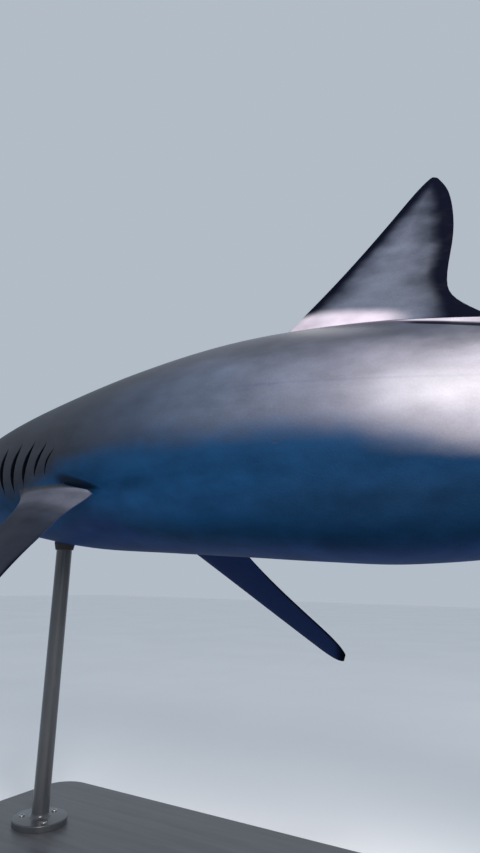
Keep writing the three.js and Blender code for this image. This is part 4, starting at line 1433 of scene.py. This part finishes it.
def turn_profile(profile, centre):
    """Spins a line of (radius, height) points once round an upright axis."""
    outline = bpy.data.meshes.new("profile")
    points = [(centre[0] + radius, centre[1], height) for radius, height in profile]
    outline.from_pydata(points, [(k, k + 1) for k in range(len(points) - 1)], [])
    piece = bpy.data.objects.new("turned", outline)
    bpy.context.collection.objects.link(piece)
    bpy.ops.object.select_all(action="DESELECT")
    piece.select_set(True)
    bpy.context.view_layer.objects.active = piece
    bpy.ops.object.mode_set(mode="EDIT")
    bpy.ops.mesh.select_all(action="SELECT")
    bpy.ops.mesh.spin(steps=ROD_TURNS, angle=2 * math.pi, center=(centre[0], centre[1], 0), axis=(0, 0, 1))
    bpy.ops.mesh.select_all(action="SELECT")
    bpy.ops.mesh.remove_doubles(threshold=0.00002)
    face_outwards()
    bpy.ops.object.shade_smooth_by_angle(angle=math.radians(35))
    return piece


def quarter(radius, height, bend_radius, steps=5, hollow=False):
    """A quarter round, from the side of an outer corner to its top, or out of the foot of a hollow one."""
    points = []
    for k in range(steps + 1):
        turn = math.pi / 2 * k / steps
        out, up = bend_radius * (1 - math.cos(turn)), bend_radius * (1 - math.sin(turn))
        points.append((radius + up, height + out) if hollow else (radius - out, height - up))
    return points


for place_name in ("front", "rear"):
    node_name = "stand_rod_" + place_name
    rod_low, rod_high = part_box(node_name)
    centre = (rod_low + rod_high) / 2
    foot_top = rod_low.z + FOOT_HEIGHT
    rod_top = rod_high.z - ROD_SHORT
    rod = turn_profile([
        (0.0, rod_low.z), (FOOT_RADIUS, rod_low.z),
        *quarter(FOOT_RADIUS, foot_top, FOOT_ROUND),
        *quarter(ROD_RADIUS, foot_top, FILLET, hollow=True),
        (ROD_RADIUS, rod_top), (0.0, rod_top),
    ], centre)
    rod.name = "display_rod_" + place_name
    rod.data.materials.append(enamel_finish)
    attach(rod, "root")
    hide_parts(node_name)

    heads = []
    head_low, head_top, socket_floor = (foot_top + rise for rise in (-0.001, SCREW_RISE, 0.0002))
    for k in range(SCREWS):
        turn = math.radians(90) + 2 * math.pi * k / SCREWS
        spot = (centre.x + SCREW_CIRCLE * math.cos(turn), centre.y + SCREW_CIRCLE * math.sin(turn))
        heads.append(turn_profile([
            (0.0, head_low), (SCREW_RADIUS, head_low),
            *quarter(SCREW_RADIUS, head_top, SCREW_ROUND, 3),
            (SCREW_RADIUS * 0.45, head_top), (SCREW_RADIUS * 0.40, socket_floor), (0.0, socket_floor),
        ], spot))
    screws = join_pieces(heads, "display_screws_" + place_name)
    screws.data.materials.append(steel_finish)
    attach(screws, "root")

    back = centre.x - over_stand.x
    under_belly = [swim(x, 0, trunk_value(belly_heights, x)) for x in (back - 0.01, back, back + 0.01)]
    belly = min(under_belly, key=lambda spot: abs(spot.x - centre.x)).z
    inside = ROD_RADIUS - 0.0005
    collar = turn_profile([
        (inside, belly - COLLAR_HEIGHT), (inside + 0.0025, belly - COLLAR_HEIGHT),
        (COLLAR_RADIUS - 0.0005, belly - 0.0030), (COLLAR_RADIUS, belly - 0.0010),
        (COLLAR_RADIUS - 0.0005, belly + 0.0030), (inside, belly + 0.0030), (inside, belly - COLLAR_HEIGHT),
    ], centre)
    collar.name = "display_collar_" + place_name
    collar.data.materials.append(rubber_finish)
    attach(collar, "root")

# ---------------------------------------------------------------- the studio
# A wide pale floor, a large soft lamp close above the tail end of the flank, a faint one over and behind the
# back, and an even pale light from all round.

FLOOR_SIZE = 24.0
WORLD_BLUE = (0.72, 0.81, 0.92, 1)
WORLD_STRENGTH = 0.62
# Each lamp: the place on the body that it stands off, how far off, what it aims at, its width, power and
# colour.
LAMPS = {
    "flank_lamp": ((1.46, 0, 0), (0.02, -0.84, 0.49), (1.18, -0.10, 0.02), 0.55, 20.0, (1.0, 0.965, 0.955)),
    "back_lamp": ((0.78, 0, 0), (0.0, 0.70, 1.25), (1.05, 0.0, 0.13), 0.60, 2.0, (1.0, 0.98, 0.97)),
}

floor = begin(bpy.ops.mesh.primitive_plane_add, "studio_floor", size=FLOOR_SIZE, location=(0, 0, 0))
floor.data.materials.append(clouded_finish(
    "studio_floor", {"Specular IOR Level": 0.25}, ((0.93, 0.935, 0.94, 1), (0.90, 0.905, 0.915, 1)),
    2.2, 4.0, (-0.2, 0.2), (0.75, 0.1),
))

for name, (beside, away, aim, width, power, colour) in LAMPS.items():
    light = bpy.data.lights.new(name, "AREA")
    light.shape = "SQUARE"
    light.size = width
    light.energy = power
    light.color = colour
    lamp = bpy.data.objects.new(name, light)
    bpy.context.collection.objects.link(lamp)
    lamp.location = swim(*beside) + Vector(away)
    lamp.rotation_euler = (swim(*aim) - lamp.location).to_track_quat("-Z", "Y").to_euler()

world = bpy.data.worlds.new("studio")
world.use_nodes = True
world.node_tree.nodes["Background"].inputs["Color"].default_value = WORLD_BLUE
world.node_tree.nodes["Background"].inputs["Strength"].default_value = WORLD_STRENGTH
bpy.context.scene.world = world
